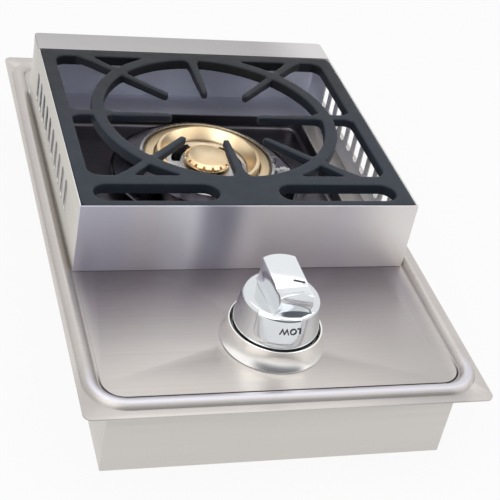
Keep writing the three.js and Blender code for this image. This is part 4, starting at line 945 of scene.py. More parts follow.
@dataclass(frozen=True)
class Moulded(Finish):
    """Ceramic, plastic, rubber or ink: not a metal.

    Attributes:
        dull: The roughness in the middle of its range.
        grain_size: Grains of the surface to the metre.
        relief_depth: How deep they are, in metres.
        glaze: How much of a clear coat lies over it.
    """

    dull: float = 0.45
    grain_size: float = 900.0
    relief_depth: float = 0.00004
    glaze: float = 0.0

    def nodes(self) -> FinishBoard:
        """A fine grain and a soft change of tone."""
        board = FinishBoard(self.name, 0.0)
        grains = board.noise((self.grain_size,) * 3, 3, 0.6)
        tones = board.noise((110, 110, 110), 3, 0.5)
        board.colour(board.tint(board.spread(tones, 0.0, 1.0), self.base, self.deep))
        board.roughness(board.spread(grains, self.dull - 0.06, self.dull + 0.06))
        board.relief(grains, 0.3, self.relief_depth)
        board.shader.inputs["Coat Weight"].default_value = self.glaze
        return board


DECK_STEEL = BrushedSteel(
    "deck_brushed_steel",
    painted(201, 196, 192),
    painted(191, 186, 183),
    tones=(
        # Painted shade: the right front of the deck is darkened, standing in for a darker
        # reflection.
        PaintedLight(
            painted(178, 174, 171),
            ((Axis.X, 0.03, 0.12), (Axis.X, 0.15, 0.135), (Axis.Y, -0.14, -0.2)),
        ),
        # Painted shade: the front left of the flange is darkened against the lamp's reflection.
        PaintedLight(painted(180, 175, 171), ((Axis.X, -0.13, -0.165), (Axis.Y, -0.2, -0.25))),
        # Painted shade: the deck darkens towards the pot frame's front wall, where the wall shades
        # it.
        PaintedLight(
            painted(148, 141, 146),
            (
                (Axis.Y, -0.235, -0.1),
                (Axis.Y, -0.07, -0.09),
                (Axis.X, -0.152, -0.138),
                (Axis.X, 0.152, 0.138),
            ),
        ),
        # Painted light: the shelf between the well and the rear wall is brightened where it lies in
        # shade.
        PaintedLight(
            painted(236, 238, 252),
            (
                (Axis.Y, 0.156, 0.163),
                (Axis.Y, 0.203, 0.2),
                (Axis.X, -0.149, -0.147),
                (Axis.X, 0.149, 0.147),
            ),
        ),
        # Painted highlight along the crest of the bead at the front.
        PaintedLight(painted(206, 204, 211), ((Axis.Z, 0.0776, 0.0789), (Axis.Y, -0.21, -0.245))),
        # Painted shade: a dark line in the groove inside the bead, along the front.
        PaintedLight(
            painted(58, 56, 58),
            (
                (Axis.Z, 0.074, 0.0742),
                (Axis.Z, 0.0745, 0.0744),
                (Axis.X, -0.158, -0.152),
                (Axis.X, 0.158, 0.152),
                (Axis.Y, -0.262, -0.255),
                (Axis.Y, -0.215, -0.24),
            ),
        ),
    ),
)
WALL_STEEL = BrushedSteel(
    "wall_brushed_steel",
    painted(214, 211, 216),
    painted(178, 175, 182),
    dull=0.4,
    band_run=Axis.Z,
    bands=15.0,
    band_share=0.85,
    smear=0.85,
    # Painted reflections: light and dark upright bands across the front wall, standing in for
    # reflections that the grain smears.
    tones=(
        PaintedLight(painted(214, 213, 226), ((Axis.X, -0.085, -0.12),)),
        PaintedLight(painted(238, 238, 246), ((Axis.X, -0.09, -0.062), (Axis.X, -0.036, -0.052))),
        PaintedLight(painted(178, 178, 190), ((Axis.X, -0.056, -0.034), (Axis.X, 0.0, -0.028))),
        PaintedLight(painted(226, 222, 224), ((Axis.X, -0.02, 0.01), (Axis.X, 0.09, 0.04))),
        PaintedLight(painted(232, 228, 226), ((Axis.X, 0.07, 0.13),)),
    ),
)
LEDGE_STEEL = BrushedSteel(
    "ledge_brushed_steel",
    painted(206, 203, 200),
    painted(194, 191, 189),
    dull=0.4,
    smear=0.8,
    tones=(
        # Painted light: the inner face of the rear wall, below the ledge, is brightened where it
        # lies in shade.
        PaintedLight(painted(240, 243, 255), ((Axis.Y, 0.2007, 0.2), (Axis.Z, 0.138, 0.13))),
        # Painted shade: the top of the ledge is darkened against the lamps' reflection.
        PaintedLight(painted(176, 174, 175), ((Axis.Z, 0.13, 0.138),)),
        # Painted highlight: the right end of the ledge's top is lighter.
        PaintedLight(painted(214, 212, 212), ((Axis.Z, 0.13, 0.138), (Axis.X, 0.07, 0.14))),
    ),
)
SIDE_STEEL = BrushedSteel(
    "side_brushed_steel",
    painted(212, 209, 202),
    painted(197, 194, 189),
    grain=Axis.Y,
    dull=0.5,
    band_run=Axis.Y,
    smear=0.85,
    # Painted light: the inside of the side walls, their inner faces and the rails within, is
    # brightened where it lies in shade.
    tones=(PaintedLight(painted(252, 252, 255), ((Axis.X, -0.1473, -0.1466), (Axis.X, 0.1473, 0.1466))),),
)
LINER_STEEL = BrushedSteel(
    "liner_brushed_steel", painted(200, 196, 192), painted(184, 180, 176), dull=0.34
)
# Painted shade: the well's steel is dark, standing in for the shade under the grate.
WELL_STEEL = BrushedSteel(
    "well_steel_painted_shade", painted(124, 121, 127), painted(96, 93, 99), dull=0.3, smear=0.3
)
# Painted reflection: the bowl's polished steel is dark, standing in for the dark well and grate
# that it reflects.
BOWL_STEEL = TurnedMetal(
    "bowl_spun_steel_painted_reflection", painted(96, 92, 102), painted(52, 48, 52), dull=0.12, stain_share=0.7
)
GRATE_IRON = CastMetal(
    "grate_cast_iron",
    painted(38, 46, 57),
    painted(17, 20, 26),
    metallic=0.0,
    dull=0.5,
    grain_size=620.0,
    relief_depth=0.00018,
    edge=painted(64, 74, 84),
    shine=0.3,
    # Painted shade: the grate is darker towards the rear.
    rear_shade=(-0.02, 0.17),
)
CAST_ALLOY = CastMetal(
    "burner_cast_alloy",
    painted(214, 214, 216),
    painted(176, 174, 174),
    dull=0.26,
    grain_size=900.0,
    relief_depth=0.00008,
    edge=painted(236, 236, 236),
)
FLAME_BRASS = TurnedMetal(
    "flame_ring_brass", painted(250, 228, 192), painted(230, 198, 150), dull=0.3, stain_share=0.6
)
PLAIN_BRASS = TurnedMetal("fitting_brass", painted(205, 168, 100), painted(160, 122, 66), dull=0.32)
ZINC_PLATE = TurnedMetal(
    "zinc_plated_steel", painted(186, 188, 190), painted(140, 142, 146), dull=0.34
)
KNOB_CHROME = TurnedMetal(
    "knob_satin_chrome", painted(223, 226, 228), painted(204, 208, 214), dull=0.1, stain_share=0.3
)
BEZEL_CHROME = TurnedMetal(
    "bezel_bright_chrome",
    painted(250, 249, 246),
    painted(234, 232, 230),
    dull=0.17,
    stain_share=0.4,
)
CERAMIC = Moulded(
    "spark_plug_ceramic", painted(244, 243, 240), painted(226, 222, 214), dull=0.3, glaze=0.4
)
BLACK_PLASTIC = Moulded("black_moulding", painted(30, 30, 32), painted(22, 22, 24), dull=0.5)
LEAD_RUBBER = Moulded("lead_sleeve", painted(46, 42, 40), painted(34, 31, 30), dull=0.6)
DIAL_INK = Moulded("dial_ink", painted(26, 26, 30), painted(40, 40, 44), dull=0.4)


# ---- Deck and liner


@dataclass
class Deck:
    """The pressed deck with its bead, and the folded liner under it."""

    half_width: float = 165.0
    half_depth: float = 271.0
    corner: float = 7.0
    top: float = DECK_TOP
    gauge: float = 1.2
    bead_outer_x: float = 161.65
    bead_outer_y: float = 263.6
    bead_outer_corner: float = 33.5
    bead_width: float = 13.5
    bead_height: float = 4.5
    bead_steps: int = 14
    corner_steps: int = 14
    opening_low: Flat = (-125.0, -57.3)
    opening_high: Flat = (125.0, 163.1)
    opening_corner: float = 14.0
    stem_hole: float = 10.6
    liner_half_width: float = 142.6
    liner_half_depth: float = 250.5
    liner_top: float = 73.2
    liner_flange: float = 6.5
    bead_roll: float = 0.3
    groove_land: float = 0.5
    groove_wall: float = 0.3
    groove_floor: float = 1.3
    groove_depth: float = 0.3
    panels: tuple[str, ...] = ("liner_front", "liner_rear", "liner_left", "liner_right")

    def build_deck(self) -> Workpiece:
        """The sheet: a rim, a pressed bead in small insets, and the openings."""
        deck = Workpiece.outline(
            "deck_panel_pressed",
            (-self.half_width, -self.half_depth),
            (self.half_width, self.half_depth),
            self.top,
            self.corner,
            self.corner_steps,
        )
        deck.pick(Pick.FACES)
        bpy.ops.mesh.delete(type="ONLY_FACE")
        field = Workpiece.outline(
            "deck_field",
            (-self.bead_outer_x, -self.bead_outer_y),
            (self.bead_outer_x, self.bead_outer_y),
            self.top,
            self.bead_outer_corner,
            self.corner_steps,
        )
        field.pick(Pick.FACES)
        field.inset(self.bead_roll)
        self._press_bead(field)
        field.inset(self.groove_land)
        field.inset(self.groove_wall, -self.groove_depth)
        field.inset(self.groove_floor)
        field.inset(self.groove_wall, self.groove_depth)
        field.inset(self.bead_roll)
        deck.add(field)
        deck.pick(Pick.EDGES, self._on_the_rim)
        bpy.ops.mesh.fill(use_beauty=True)
        deck.face_out()
        deck.face_by(lambda place, way: way.z)
        deck.thicken(self.gauge)
        under = self.top - self.gauge - OVERRUN
        deck.cut(
            Workpiece.slab(
                "opening_tool",
                (*self.opening_low, under),
                (*self.opening_high, self.top + OVERRUN),
                self.opening_corner,
            ),
            Workpiece.bar(
                "stem_tool",
                (*KNOB_CENTRE, under),
                self.gauge + 2 * OVERRUN,
                self.stem_hole,
                Axis.Z,
                48,
            ),
        )
        deck.soften(0.35, 2, 60)
        return deck

    def _press_bead(self, field: Workpiece) -> None:
        """Raises the bead by a row of narrow insets.

        Args:
            field: The face inside the bead's outer foot, selected.
        """
        inner = self.bead_width - 2 * self.bead_roll
        stations = [i / self.bead_steps for i in range(self.bead_steps + 1)]
        heights = [self.bead_height * self.arch(share) for share in stations]
        for before, after in zip(heights, heights[1:]):
            field.inset(inner / self.bead_steps, after - before)

    @staticmethod
    def arch(share: float) -> float:
        """The height of the bead's section, from foot to foot, as a share of its crest."""
        across = 2 * share - 1
        return (1 - across * across) ** 0.8 if abs(across) < 1 else 0.0

    def _on_the_rim(self, place: Vector, way: Vector) -> bool:
        """Whether an edge lies on the deck's outer edge or on the bead's outer foot."""
        if abs(place.z - self.top) > NEAR or abs(way.z) > NEAR:
            return False
        return self._follows(place, self.half_width, self.half_depth, self.corner) or self._follows(
            place, self.bead_outer_x, self.bead_outer_y, self.bead_outer_corner
        )

    @staticmethod
    def _follows(place: Vector, half_x: float, half_y: float, corner: float) -> bool:
        """Whether a place lies on a rounded rectangle.

        Args:
            place: The place.
            half_x: Half the rectangle's width.
            half_y: Half its depth.
            corner: Its corners' radius.

        Returns:
            True within 0.12 mm.
        """
        over_x = max(abs(place.x) - (half_x - corner), 0)
        over_y = max(abs(place.y) - (half_y - corner), 0)
        return abs(math.hypot(over_x, over_y) - corner) < 0.12 and (over_x > 0 or over_y > 0)

    def build_liner(self) -> list[Workpiece]:
        """The four upright panels, each folded inwards at its top."""
        return [
            self._panel("liner_front_panel", -1, Axis.Y),
            self._panel("liner_rear_panel", 1, Axis.Y),
            self._panel("liner_left_panel", -1, Axis.X),
            self._panel("liner_right_panel", 1, Axis.X),
        ]

    def _panel(self, name: str, side: int, faces: Axis) -> Workpiece:
        """One liner panel, from a section line that is drawn out and thickened.

        Args:
            name: The name of the panel.
            side: -1 or 1 along the axis that it faces.
            faces: The axis that it faces.

        Returns:
            The panel.
        """
        end_facing = faces is Axis.Y
        outer = side * (self.liner_half_depth if end_facing else self.liner_half_width)
        inward = outer - side * self.liner_flange
        reach = self.liner_half_width
        if not end_facing:
            reach = self.liner_half_depth - self.gauge - SEAM
        section = [(outer, 0.0), (outer, self.liner_top), (inward, self.liner_top)]
        if end_facing:
            points = [(-reach, across, height) for across, height in section]
            step = (2 * reach, 0, 0)
        else:
            points = [(across, -reach, height) for across, height in section]
            step = (0, 2 * reach, 0)
        panel = Workpiece.drawn(name, points)
        panel.pick(Pick.EDGES)
        panel.extrude(step)
        panel.pick(
            Pick.POINTS,
            lambda place, way: abs((place.y if end_facing else place.x) - inward) < NEAR,
        )
        gap = 2 * self.liner_flange + (0 if end_facing else 2 * SEAM)
        share = (2 * reach - gap) / (2 * reach)
        bpy.ops.transform.resize(
            value=(share if end_facing else 1, 1 if end_facing else share, 1),
            center_override=(0, 0, 0),
        )
        panel.face_out()
        centre = Vector((0, 0, self.liner_top / 2))
        panel.face_by(lambda place, way: way.dot(place - centre))
        panel.thicken(self.gauge)
        panel.soften(0.5, 3, 60)
        return panel

    def dress(self) -> None:
        """Builds the deck and the liner and sets them in the frame."""
        self.build_deck().set_in_frame("housing", "deck_steel", DECK_STEEL, ["deck_panel"])
        for panel, node in zip(self.build_liner(), self.panels):
            panel.set_in_frame("housing", "liner_steel", LINER_STEEL, [node])


# ---- Pot frame


@dataclass
class PotFrame:
    """The upright walls round the grate, with the ledge behind it."""

    half_width: float = 147.7
    front: float = -95.2
    rear: float = 201.0
    foot: float = DECK_TOP + SEAM
    top: float = GRATE_TOP
    gauge: float = 1.2
    ledge_front: float = 169.4
    ledge_lip: float = 13.0
    corner: float = 4.0
    vent_width: float = 11.6
    vent_foot: float = 92.1
    vent_head: float = 122.1
    vent_rear: float = 152.0
    vent_pitch: float = 20.4
    vents: int = 10

    def build_front(self) -> Workpiece:
        """The plain front wall."""
        wall = Workpiece.block(
            "frame_front_sheet",
            (-self.half_width, self.front, self.foot),
            (self.half_width, self.front + self.gauge, self.top),
        )
        wall.soften(0.4, 3, 60)
        return wall

    def build_side(self, side: int, name: str) -> Workpiece:
        """A side wall with its row of upright vents.

        Args:
            side: -1 for the left wall, 1 for the right.
            name: The name of the piece.

        Returns:
            The wall.
        """
        outer, inner = sorted((side * self.half_width, side * (self.half_width - self.gauge)))
        wall_rear = self.rear - self.corner - SEAM
        wall = Workpiece.block(
            name,
            (outer, self.front + self.gauge + SEAM, self.foot),
            (inner, wall_rear, self.top),
        )
        wall.cut(
            Workpiece.block(
                "ledge_notch",
                (outer - OVERRUN, self.ledge_front - SEAM, self.top - self.gauge - SEAM),
                (inner + OVERRUN, wall_rear + OVERRUN, self.top + OVERRUN),
            )
        )
        tool = self._vent_tool(outer - OVERRUN, inner + OVERRUN)
        copies = [
            tool.copy(f"vent_{i}", Matrix.Translation((0, -i * self.vent_pitch, 0)))
            for i in range(1, self.vents)
        ]
        tool.add(*copies)
        tool.place((0, self.vent_rear))
        wall.cut(tool)
        wall.soften(0.3, 2, 60)
        return wall

    def _vent_tool(self, low_x: float, high_x: float) -> Workpiece:
        """The shape of one vent: a level slot that is turned upright.

        Args:
            low_x: Where it starts.
            high_x: Where it ends.

        Returns:
            The tool, with its middle at y 0.
        """
        half = self.vent_width / 2
        middle = (self.vent_foot + self.vent_head) / 2
        reach = (self.vent_head - self.vent_foot) / 2
        tool = Workpiece.slab(
            "vent_tool", (-reach, -half, low_x), (reach, half, high_x), half - NEAR, 8
        )
        upright = Matrix(((0, 0, 1, 0), (0, 1, 0, 0), (-1, 0, 0, middle), (0, 0, 0, 1)))
        tool.body.data.transform(upright)
        return tool

    def build_rear(self) -> Workpiece:
        """The rear wall, the ledge on it and the lip in front, folded from one sheet."""
        sheet = Workpiece.outline(
            "frame_rear_sheet",
            (-self.half_width, self.ledge_front),
            (self.half_width, self.rear),
            self.top,
            0,
        )
        sheet.pick(Pick.POINTS, lambda place, way: place.y > self.ledge_front + 1)
        bpy.ops.mesh.bevel(affect="VERTICES", offset=self.corner, segments=8)
        sheet.pick(
            Pick.EDGES,
            lambda place, way: place.y > self.rear - self.corner and place.z > self.top - 0.1,
        )
        sheet.extrude((0, 0, self.foot - self.top))
        sheet.pick(
            Pick.EDGES,
            lambda place, way: place.y < self.ledge_front + 0.1 and place.z > self.top - 0.1,
        )
        sheet.extrude((0, 0, -self.ledge_lip))
        sheet.face_out()
        sheet.face_by(lambda place, way: way.z)
        sheet.thicken(self.gauge)
        sheet.soften(0.9, 3, 60)
        return sheet

    def dress(self) -> None:
        """Builds the four walls and sets them in the frame."""
        self.build_front().set_in_frame("housing", "frame_steel", WALL_STEEL, ["frame_front_wall"])
        for side, name in ((-1, "left"), (1, "right")):
            wall = self.build_side(side, f"frame_{name}_sheet")
            wall.set_in_frame("housing", "frame_steel", SIDE_STEEL, [f"frame_{name}_wall"])
        self.build_rear().set_in_frame("housing", "frame_steel", LEDGE_STEEL, ["frame_rear_wall"])


# ---- Pot grate


@dataclass
class PotGrate:
    """The cast grate: a frame, a ring, eight fingers and four feet in one casting."""

    half_width: float = 146.0
    front: float = -93.5
    rear: float = 168.0
    under: float = 129.8
    top: float = GRATE_TOP
    corner: float = 6.0
    window_x: float = 133.5
    window_front: float = -48.4
    window_rear: float = 157.0
    window_corner: float = 10.0
    slot_inner: float = 26.5
    slot_front: float = -86.2
    slot_depth: float = 23.8
    burner_y: float = BURNER_CENTRE[1]
    ring_outer: float = 114.0
    ring_inner: float = 102.5
    finger_width: float = 8.6
    finger_drop: float = 1.6
    long_reach: float = 40.5
    short_reach: float = 52.0
    root_flare: float = 7.0
    root_width: float = 2.1
    slant_width: float = 1.5
    slant_depth: float = 7.0
    tip_width: float = 0.62
    tip_fall: float = 1.2
    knot: float = 7.4
    web: float = 5.2
    foot_outer: float = 145.4
    foot_inner: float = 140.4
    foot_low: float = 127.0
    foot_length: float = 20.0
    foot_places: tuple[float, float] = (-69.5, 144.0)
    skin: float = 1.05
    fingers: int = 8

    def build(self) -> Workpiece:
        """Frame, ring, fingers and feet, run together into one soft casting."""
        grate = self._frame()
        ring = Workpiece.turned(
            "grate_ring",
            [
                (self.ring_inner, self.under),
                (self.ring_outer, self.under),
                (self.ring_outer, self.top),
                (self.ring_inner, self.top),
            ],
            (0, self.burner_y),
        )
        parts = [ring, *self._feet()]
        for step in range(self.fingers):
            parts.append(self._finger(step * FULL_TURN / self.fingers, step % 2 == 0))
        grate.add(*parts)
        grate.modify("REMESH", mode="VOXEL", voxel_size=self.skin, adaptivity=0.0)
        grate.modify("SMOOTH", factor=0.5, iterations=5)
        grate.modify("DECIMATE", ratio=0.45)
        return grate

    def _frame(self) -> Workpiece:
        """The flat outer frame, with its window and the two slots in front."""
        frame = Workpiece.slab(
            "pot_grate_casting",
            (-self.half_width, self.front, self.under),
            (self.half_width, self.rear, self.top),
            self.corner,
        )
        low, high = self.under - OVERRUN, self.top + OVERRUN
        window = Workpiece.slab(
            "window_tool",
            (-self.window_x, self.window_front, low),
            (self.window_x, self.window_rear, high),
            self.window_corner,
        )
        slots = [
            Workpiece.slab(
                "slot_tool",
                (min(side * self.slot_inner, side * self.window_x), self.slot_front, low),
                (
                    max(side * self.slot_inner, side * self.window_x),
                    self.slot_front + self.slot_depth,
                    high,
                ),
                self.slot_depth / 2 - 0.01,
            )
            for side in (-1, 1)
        ]
        frame.cut(window, *slots)
        return frame

    def _finger(self, angle: float, long: bool) -> Workpiece:
        """One finger from its round tip to its flared root.

        Args:
            angle: Its direction from the burner.
            long: Whether it is one of the four long ones.

        Returns:
            The finger.
        """
        tip = self.long_reach if long else self.short_reach
        root = self._root(angle) - self.root_flare
        half = self.finger_width / 2
        low = self.under + self.finger_drop
        finger = Workpiece.block("finger", (tip, -half, low), (root, half, self.top))
        finger.pick(Pick.FACES, lambda place, way: place.x < tip + 0.1)
        bpy.ops.transform.resize(value=(1, self.tip_width, 1), center_override=(tip, 0, low))
        finger.pick(Pick.POINTS, lambda place, way: place.x < tip + 0.1 and place.z > low + 1)
        bpy.ops.transform.translate(value=(0, 0, -self.tip_fall))
        finger.pick(Pick.EDGES, lambda place, way: place.x < tip + 0.1 and abs(way.z) > 1)
        bpy.ops.mesh.bevel(offset=half * self.tip_width - 0.02, segments=8, affect="EDGES")
        finger.pick(Pick.FACES, lambda place, way: way.x > 0.9 and place.x > root - 0.1)
        finger.extrude((self.root_flare + (2 if long else self.slant_depth), 0, 0))
        width = self.root_width if long else self.slant_width
        bpy.ops.transform.resize(value=(1, width, 1))
        finger.face_out()
        place, radius = self.ring_inner - half / 2, self.web
        if not long:
            place, radius = (self.ring_inner + self.ring_outer) / 2, self.knot
        finger.add(Workpiece.bar("knot", (place, 0, low), self.top - low, radius, Axis.Z))
        finger.place((0, self.burner_y), angle)
        return finger

    def _root(self, angle: float) -> float:
        """How far from the burner a finger meets the frame.

        Args:
            angle: The finger's direction.

        Returns:
            The distance along the finger.
        """
        across = abs(math.cos(angle))
        along = abs(math.sin(angle))
        to_side = self.window_x / across if across > 0.01 else math.inf
        edge = self.window_rear if math.sin(angle) > 0 else self.window_front
        to_end = abs(edge - self.burner_y) / along if along > 0.01 else math.inf
        return min(to_side, to_end)

    def _feet(self) -> list[Workpiece]:
        """The four feet that stand on the rails."""
        feet = []
        for side in (-1, 1):
            for y in self.foot_places:
                low_x, high_x = sorted((side * self.foot_outer, side * self.foot_inner))
                feet.append(
                    Workpiece.block(
                        "foot",
                        (low_x, y - self.foot_length / 2, self.foot_low),
                        (high_x, y + self.foot_length / 2, self.under + 3),
                    )
                )
        return feet

    def dress(self) -> None:
        """Builds the grate and sets it in the frame."""
        self.build().set_in_frame("grate", "grate_iron", GRATE_IRON, ["pot_grate"], 60)


# ---- Well, bowl and burner


@dataclass
class BurnerBay:
    """The well under the grate and the spun bowl round the burner."""

    low: Flat = (-124.8, -57.1)
    high: Flat = (124.8, 162.9)
    corner: float = 14.0
    lip_top: float = 73.2
    lip: float = 9.0
    floor: float = 59.6
    edge: float = 4.0
    edge_steps: int = 4
    gauge: float = 1.0
    centre: Flat = BURNER_CENTRE
    burner_hole: float = 40.0
    lead_hole: Point = (104.0, 49.9, 5.0)
    bowl_hole: float = 31.0
    bowl_flat: float = 66.0
    bowl_rim: float = 88.0
    bowl_roll: float = 1.6
    bowl_foot: float = 59.8
    bowl_top: float = 75.6

    def build_well(self) -> Workpiece:
        """A lip, upright sides, a rounded foot and a floor with two holes."""
        well = Workpiece.outline(
            "burner_well_pan",
            (self.low[0] - self.lip, self.low[1] - self.lip),
            (self.high[0] + self.lip, self.high[1] + self.lip),
            self.lip_top,
            self.corner + self.lip,
        )
        well.pick(Pick.FACES)
        well.inset(self.lip)
        well.extrude((0, 0, self.floor + self.edge - self.lip_top))
        for step in range(self.edge_steps):
            first, last = (QUARTER_TURN * (step + i) / self.edge_steps for i in (0, 1))
            well.inset(
                self.edge * (math.cos(first) - math.cos(last)),
                -self.edge * (math.sin(last) - math.sin(first)),
            )
        well.inset(1.0)
        well.thicken(self.gauge)
        x, y, radius = self.lead_hole
        foot, depth = self.floor - self.gauge - OVERRUN, self.gauge + 2 * OVERRUN
        well.cut(
            Workpiece.bar(
                "burner_hole_tool", (*self.centre, foot), depth, self.burner_hole, Axis.Z, 96
            ),
            Workpiece.bar("lead_hole_tool", (x, y, foot), depth, radius, Axis.Z, 32),
        )
        return well

    def build_bowl(self) -> Workpiece:
        """The bowl, spun from its section, with a rolled rim."""
        inner = self.bowl_top - self.gauge
        bowl = Workpiece.turned(
            "drip_bowl_spun",
            [
                (self.bowl_hole, self.bowl_foot),
                (self.bowl_flat, self.bowl_foot),
                (self.bowl_rim, inner),
                (self.bowl_rim + self.bowl_roll, inner),
                (self.bowl_rim + self.bowl_roll, self.bowl_top),
                (self.bowl_rim - self.gauge, self.bowl_top),
                (self.bowl_flat - self.gauge / 2, self.bowl_foot + self.gauge),
                (self.bowl_hole, self.bowl_foot + self.gauge),
            ],
            self.centre,
        )
        bowl.soften(0.4, 3, 30)
        return bowl

    def dress(self) -> None:
        """Builds the well and the bowl and sets them in the frame."""
        self.build_well().set_in_frame("housing", "well_steel", WELL_STEEL, ["burner_well"])
        self.build_bowl().set_in_frame("housing", "bowl_steel", BOWL_STEEL, ["drip_bowl"])


@dataclass
class Burner:
    """The alloy casting, the two brass rings, the cap in the middle and the spark plug."""

    centre: Flat = BURNER_CENTRE
    deck_top: float = DECK_TOP
    rim: float = 64.0
    rim_wall: float = 2.2
    rim_top: float = 92.6
    shoulder: float = 82.6
    keel: float = 46.0
    keel_foot: float = 70.6
    inner: float = 35.6
    seat: float = 85.6
    trough_inner: float = 40.6
    trough_outer: float = 47.2
    trough_floor: float = 74.6
    web_top: float = 87.6
    web_under: float = 83.1
    web_rim: float = 37.8
    boss: float = 17.0
    bore: float = 9.0
    neck: float = 24.0
    neck_top: float = 66.6
    chamber_foot: float = 16.6
    socket: float = 16.0
    socket_bore: float = 14.2
    socket_end: float = 46.0
    socket_depth: float = 22.0
    gas_level: float = 32.6
    opening_inner: float = 25.0
    opening_outer: float = 34.0
    opening_sweep: float = math.radians(66)
    opening_steps: int = 18
    opening_corner: float = 3.6
    openings: int = 3
    ring_foot: float = 85.8
    lower_ring: Flat = (50.6, 60.4)
    lower_top: float = 91.6
    lower_edge: float = 1.4
    upper_ring: Flat = (38.4, 49.2)
    upper_crest: Flat = (45.5, 48.5)
    upper_top: float = 98.6
    upper_inner_top: float = 89.6
    upper_wall: float = 2.0
    ring_ports: int = 36
    ring_port: Point = (1.9, 93.0, 95.4)
    port_over: float = 1.0
    cap: float = 22.0
    cap_face: float = 18.0
    cap_top: float = 95.6
    cap_edge: float = 93.2
    cap_foot: float = 90.2
    cap_neck: float = 14.0
    spigot: float = 8.6
    spigot_foot: float = 80.8
    cap_ports: int = 16
    cap_port: Point = (1.5, 93.3, 4.0)
    plug_place: Point = (69.4, 49.9, 80.6)
    plug_length: float = 13.0
    plug: float = 3.2
    plug_collar: Point = (76.2, 2.4, 4.4)

    def build_casting(self) -> Workpiece:
        """The casting, spun as one section, with its socket, bore and three openings."""
        casting = Workpiece.turned(
            "burner_casting_alloy",
            [
                (0, self.chamber_foot),
                (self.neck, self.chamber_foot),
                (self.neck, self.neck_top),
                (self.boss, self.deck_top),
                (self.boss, self.web_under),
                (self.inner, self.web_under),
                (self.inner, self.keel_foot),
                (self.keel, self.keel_foot),
                (self.rim, self.shoulder),
                (self.rim, self.rim_top),
                (self.rim - self.rim_wall, self.rim_top),
                (self.rim - self.rim_wall, self.seat),
                (self.trough_outer, self.seat),
                (self.trough_outer, self.trough_floor),
                (self.trough_inner, self.trough_floor),
                (self.trough_inner, self.seat),
                (self.web_rim, self.seat),
                (self.web_rim, self.web_top),
                (self.bore, self.web_top),
                (self.bore, self.gas_level),
                (0, self.gas_level),
            ],
            self.centre,
            closed=False,
        )
        x, y = self.centre
        casting.fuse(
            Workpiece.bar("socket", (x, y, self.gas_level), -self.socket_end, self.socket, Axis.Y)
        )
        casting.cut(
            Workpiece.bar(
                "socket_tool",
                (x, y - self.socket_end - OVERRUN, self.gas_level),
                self.socket_depth + OVERRUN,
                self.socket_bore,
                Axis.Y,
            ),
            *(
                self._opening_tool(QUARTER_TURN + i * FULL_TURN / self.openings)
                for i in range(self.openings)
            ),
            solver=Solver.MANIFOLD,
        )
        casting.soften(0.5, 3, 40)
        casting.face_out()
        return casting

    def _opening_tool(self, angle: float) -> Workpiece:
        """The curved shape of one opening in the web.

        Args:
            angle: The middle of the opening.

        Returns:
            The tool.
        """
        low, high = self.web_under - OVERRUN, self.web_top + OVERRUN
        tool = Workpiece.drawn(
            "web_tool",
            [
                (self.opening_inner, 0, low),
                (self.opening_outer, 0, low),
                (self.opening_outer, 0, high),
                (self.opening_inner, 0, high),
                (self.opening_inner, 0, low),
            ],
        )
        tool.weld()
        bpy.ops.mesh.edge_face_add()
        bpy.ops.mesh.spin(
            steps=self.opening_steps, angle=self.opening_sweep, center=(0, 0, 0), axis=(0, 0, 1)
        )
        tool.face_out()
        tool.pick(Pick.EDGES, lambda place, way: abs(way.z) > 5 and self._at_an_end(place))
        bpy.ops.mesh.bevel(offset=self.opening_corner, segments=5, affect="EDGES")
        tool.place(self.centre, angle - self.opening_sweep / 2)
        return tool

    def _at_an_end(self, place: Vector) -> bool:
        """Whether a place is at the start or the end of an opening that starts on the x axis."""
        angle = math.atan2(place.y, place.x) % FULL_TURN
        near = 0.01
        return angle < near or angle > FULL_TURN - near or abs(angle - self.opening_sweep) < near

    def build_lower_ring(self) -> Workpiece:
        """The flat outer ring."""
        inner, outer = self.lower_ring
        edge = self.lower_edge
        ring = Workpiece.turned(
            "lower_flame_ring_brass",
            [
                (inner, self.ring_foot),
                (outer, self.ring_foot),
                (outer, self.lower_top - edge),
                (outer - edge, self.lower_top),
                (inner + edge / 2, self.lower_top),
                (inner, self.lower_top - edge / 2),
            ],
            self.centre,
        )
        ring.soften(0.35, 3, 25)
        return ring

    def build_upper_ring(self) -> Workpiece:
        """The crested inner ring with a row of ports round its side."""
        inner, outer = self.upper_ring
        crest_in, crest_out = self.upper_crest
        wall = self.upper_wall
        ring = Workpiece.turned(
            "upper_flame_ring_brass",
            [
                (inner, self.ring_foot),
                (inner, self.upper_inner_top),
                (crest_in, self.upper_top),
                (crest_out, self.upper_top),
                (outer, self.upper_top - 0.7),
                (outer, self.ring_foot),
                (outer - wall, self.ring_foot),
                (outer - wall, self.upper_top - wall),
                (crest_in + 0.4, self.upper_top - 2 * wall),
                (inner + wall, self.ring_foot + 1),
                (inner + wall, self.ring_foot),
            ],
            self.centre,
            180,
        )
        width, low, high = self.ring_port
        port = Workpiece.block(
            "port_tool",
            (outer - wall - self.port_over, -width / 2, low),
            (outer + self.port_over, width / 2, high),
        )
        ring.cut(port.repeat_round(self.ring_ports, self.centre))
        ring.soften(0.35, 3, 25)
        return ring

    def build_cap(self) -> Workpiece:
        """The cap: a flat face, a sloping edge with round ports, a neck and a spigot."""
        cap = Workpiece.turned(
            "centre_flame_cap_brass",
            [
                (0, self.spigot_foot),
                (self.spigot, self.spigot_foot),
                (self.spigot, self.web_top + SEAM),
                (self.cap_neck, self.web_top + SEAM),
                (self.cap_neck, self.cap_foot),
                (self.cap, self.cap_foot),
                (self.cap, self.cap_edge),
                (self.cap_face, self.cap_top),
                (0, self.cap_top),
            ],
            self.centre,
            96,
            closed=False,
        )
        cap.soften(0.4, 3, 25)
        radius, height, depth = self.cap_port
        port = Workpiece.bar(
            "cap_port", (self.cap - depth, 0, height), depth + OVERRUN, radius, Axis.X, 14
        )
        cap.cut(port.repeat_round(self.cap_ports, self.centre))
        return cap

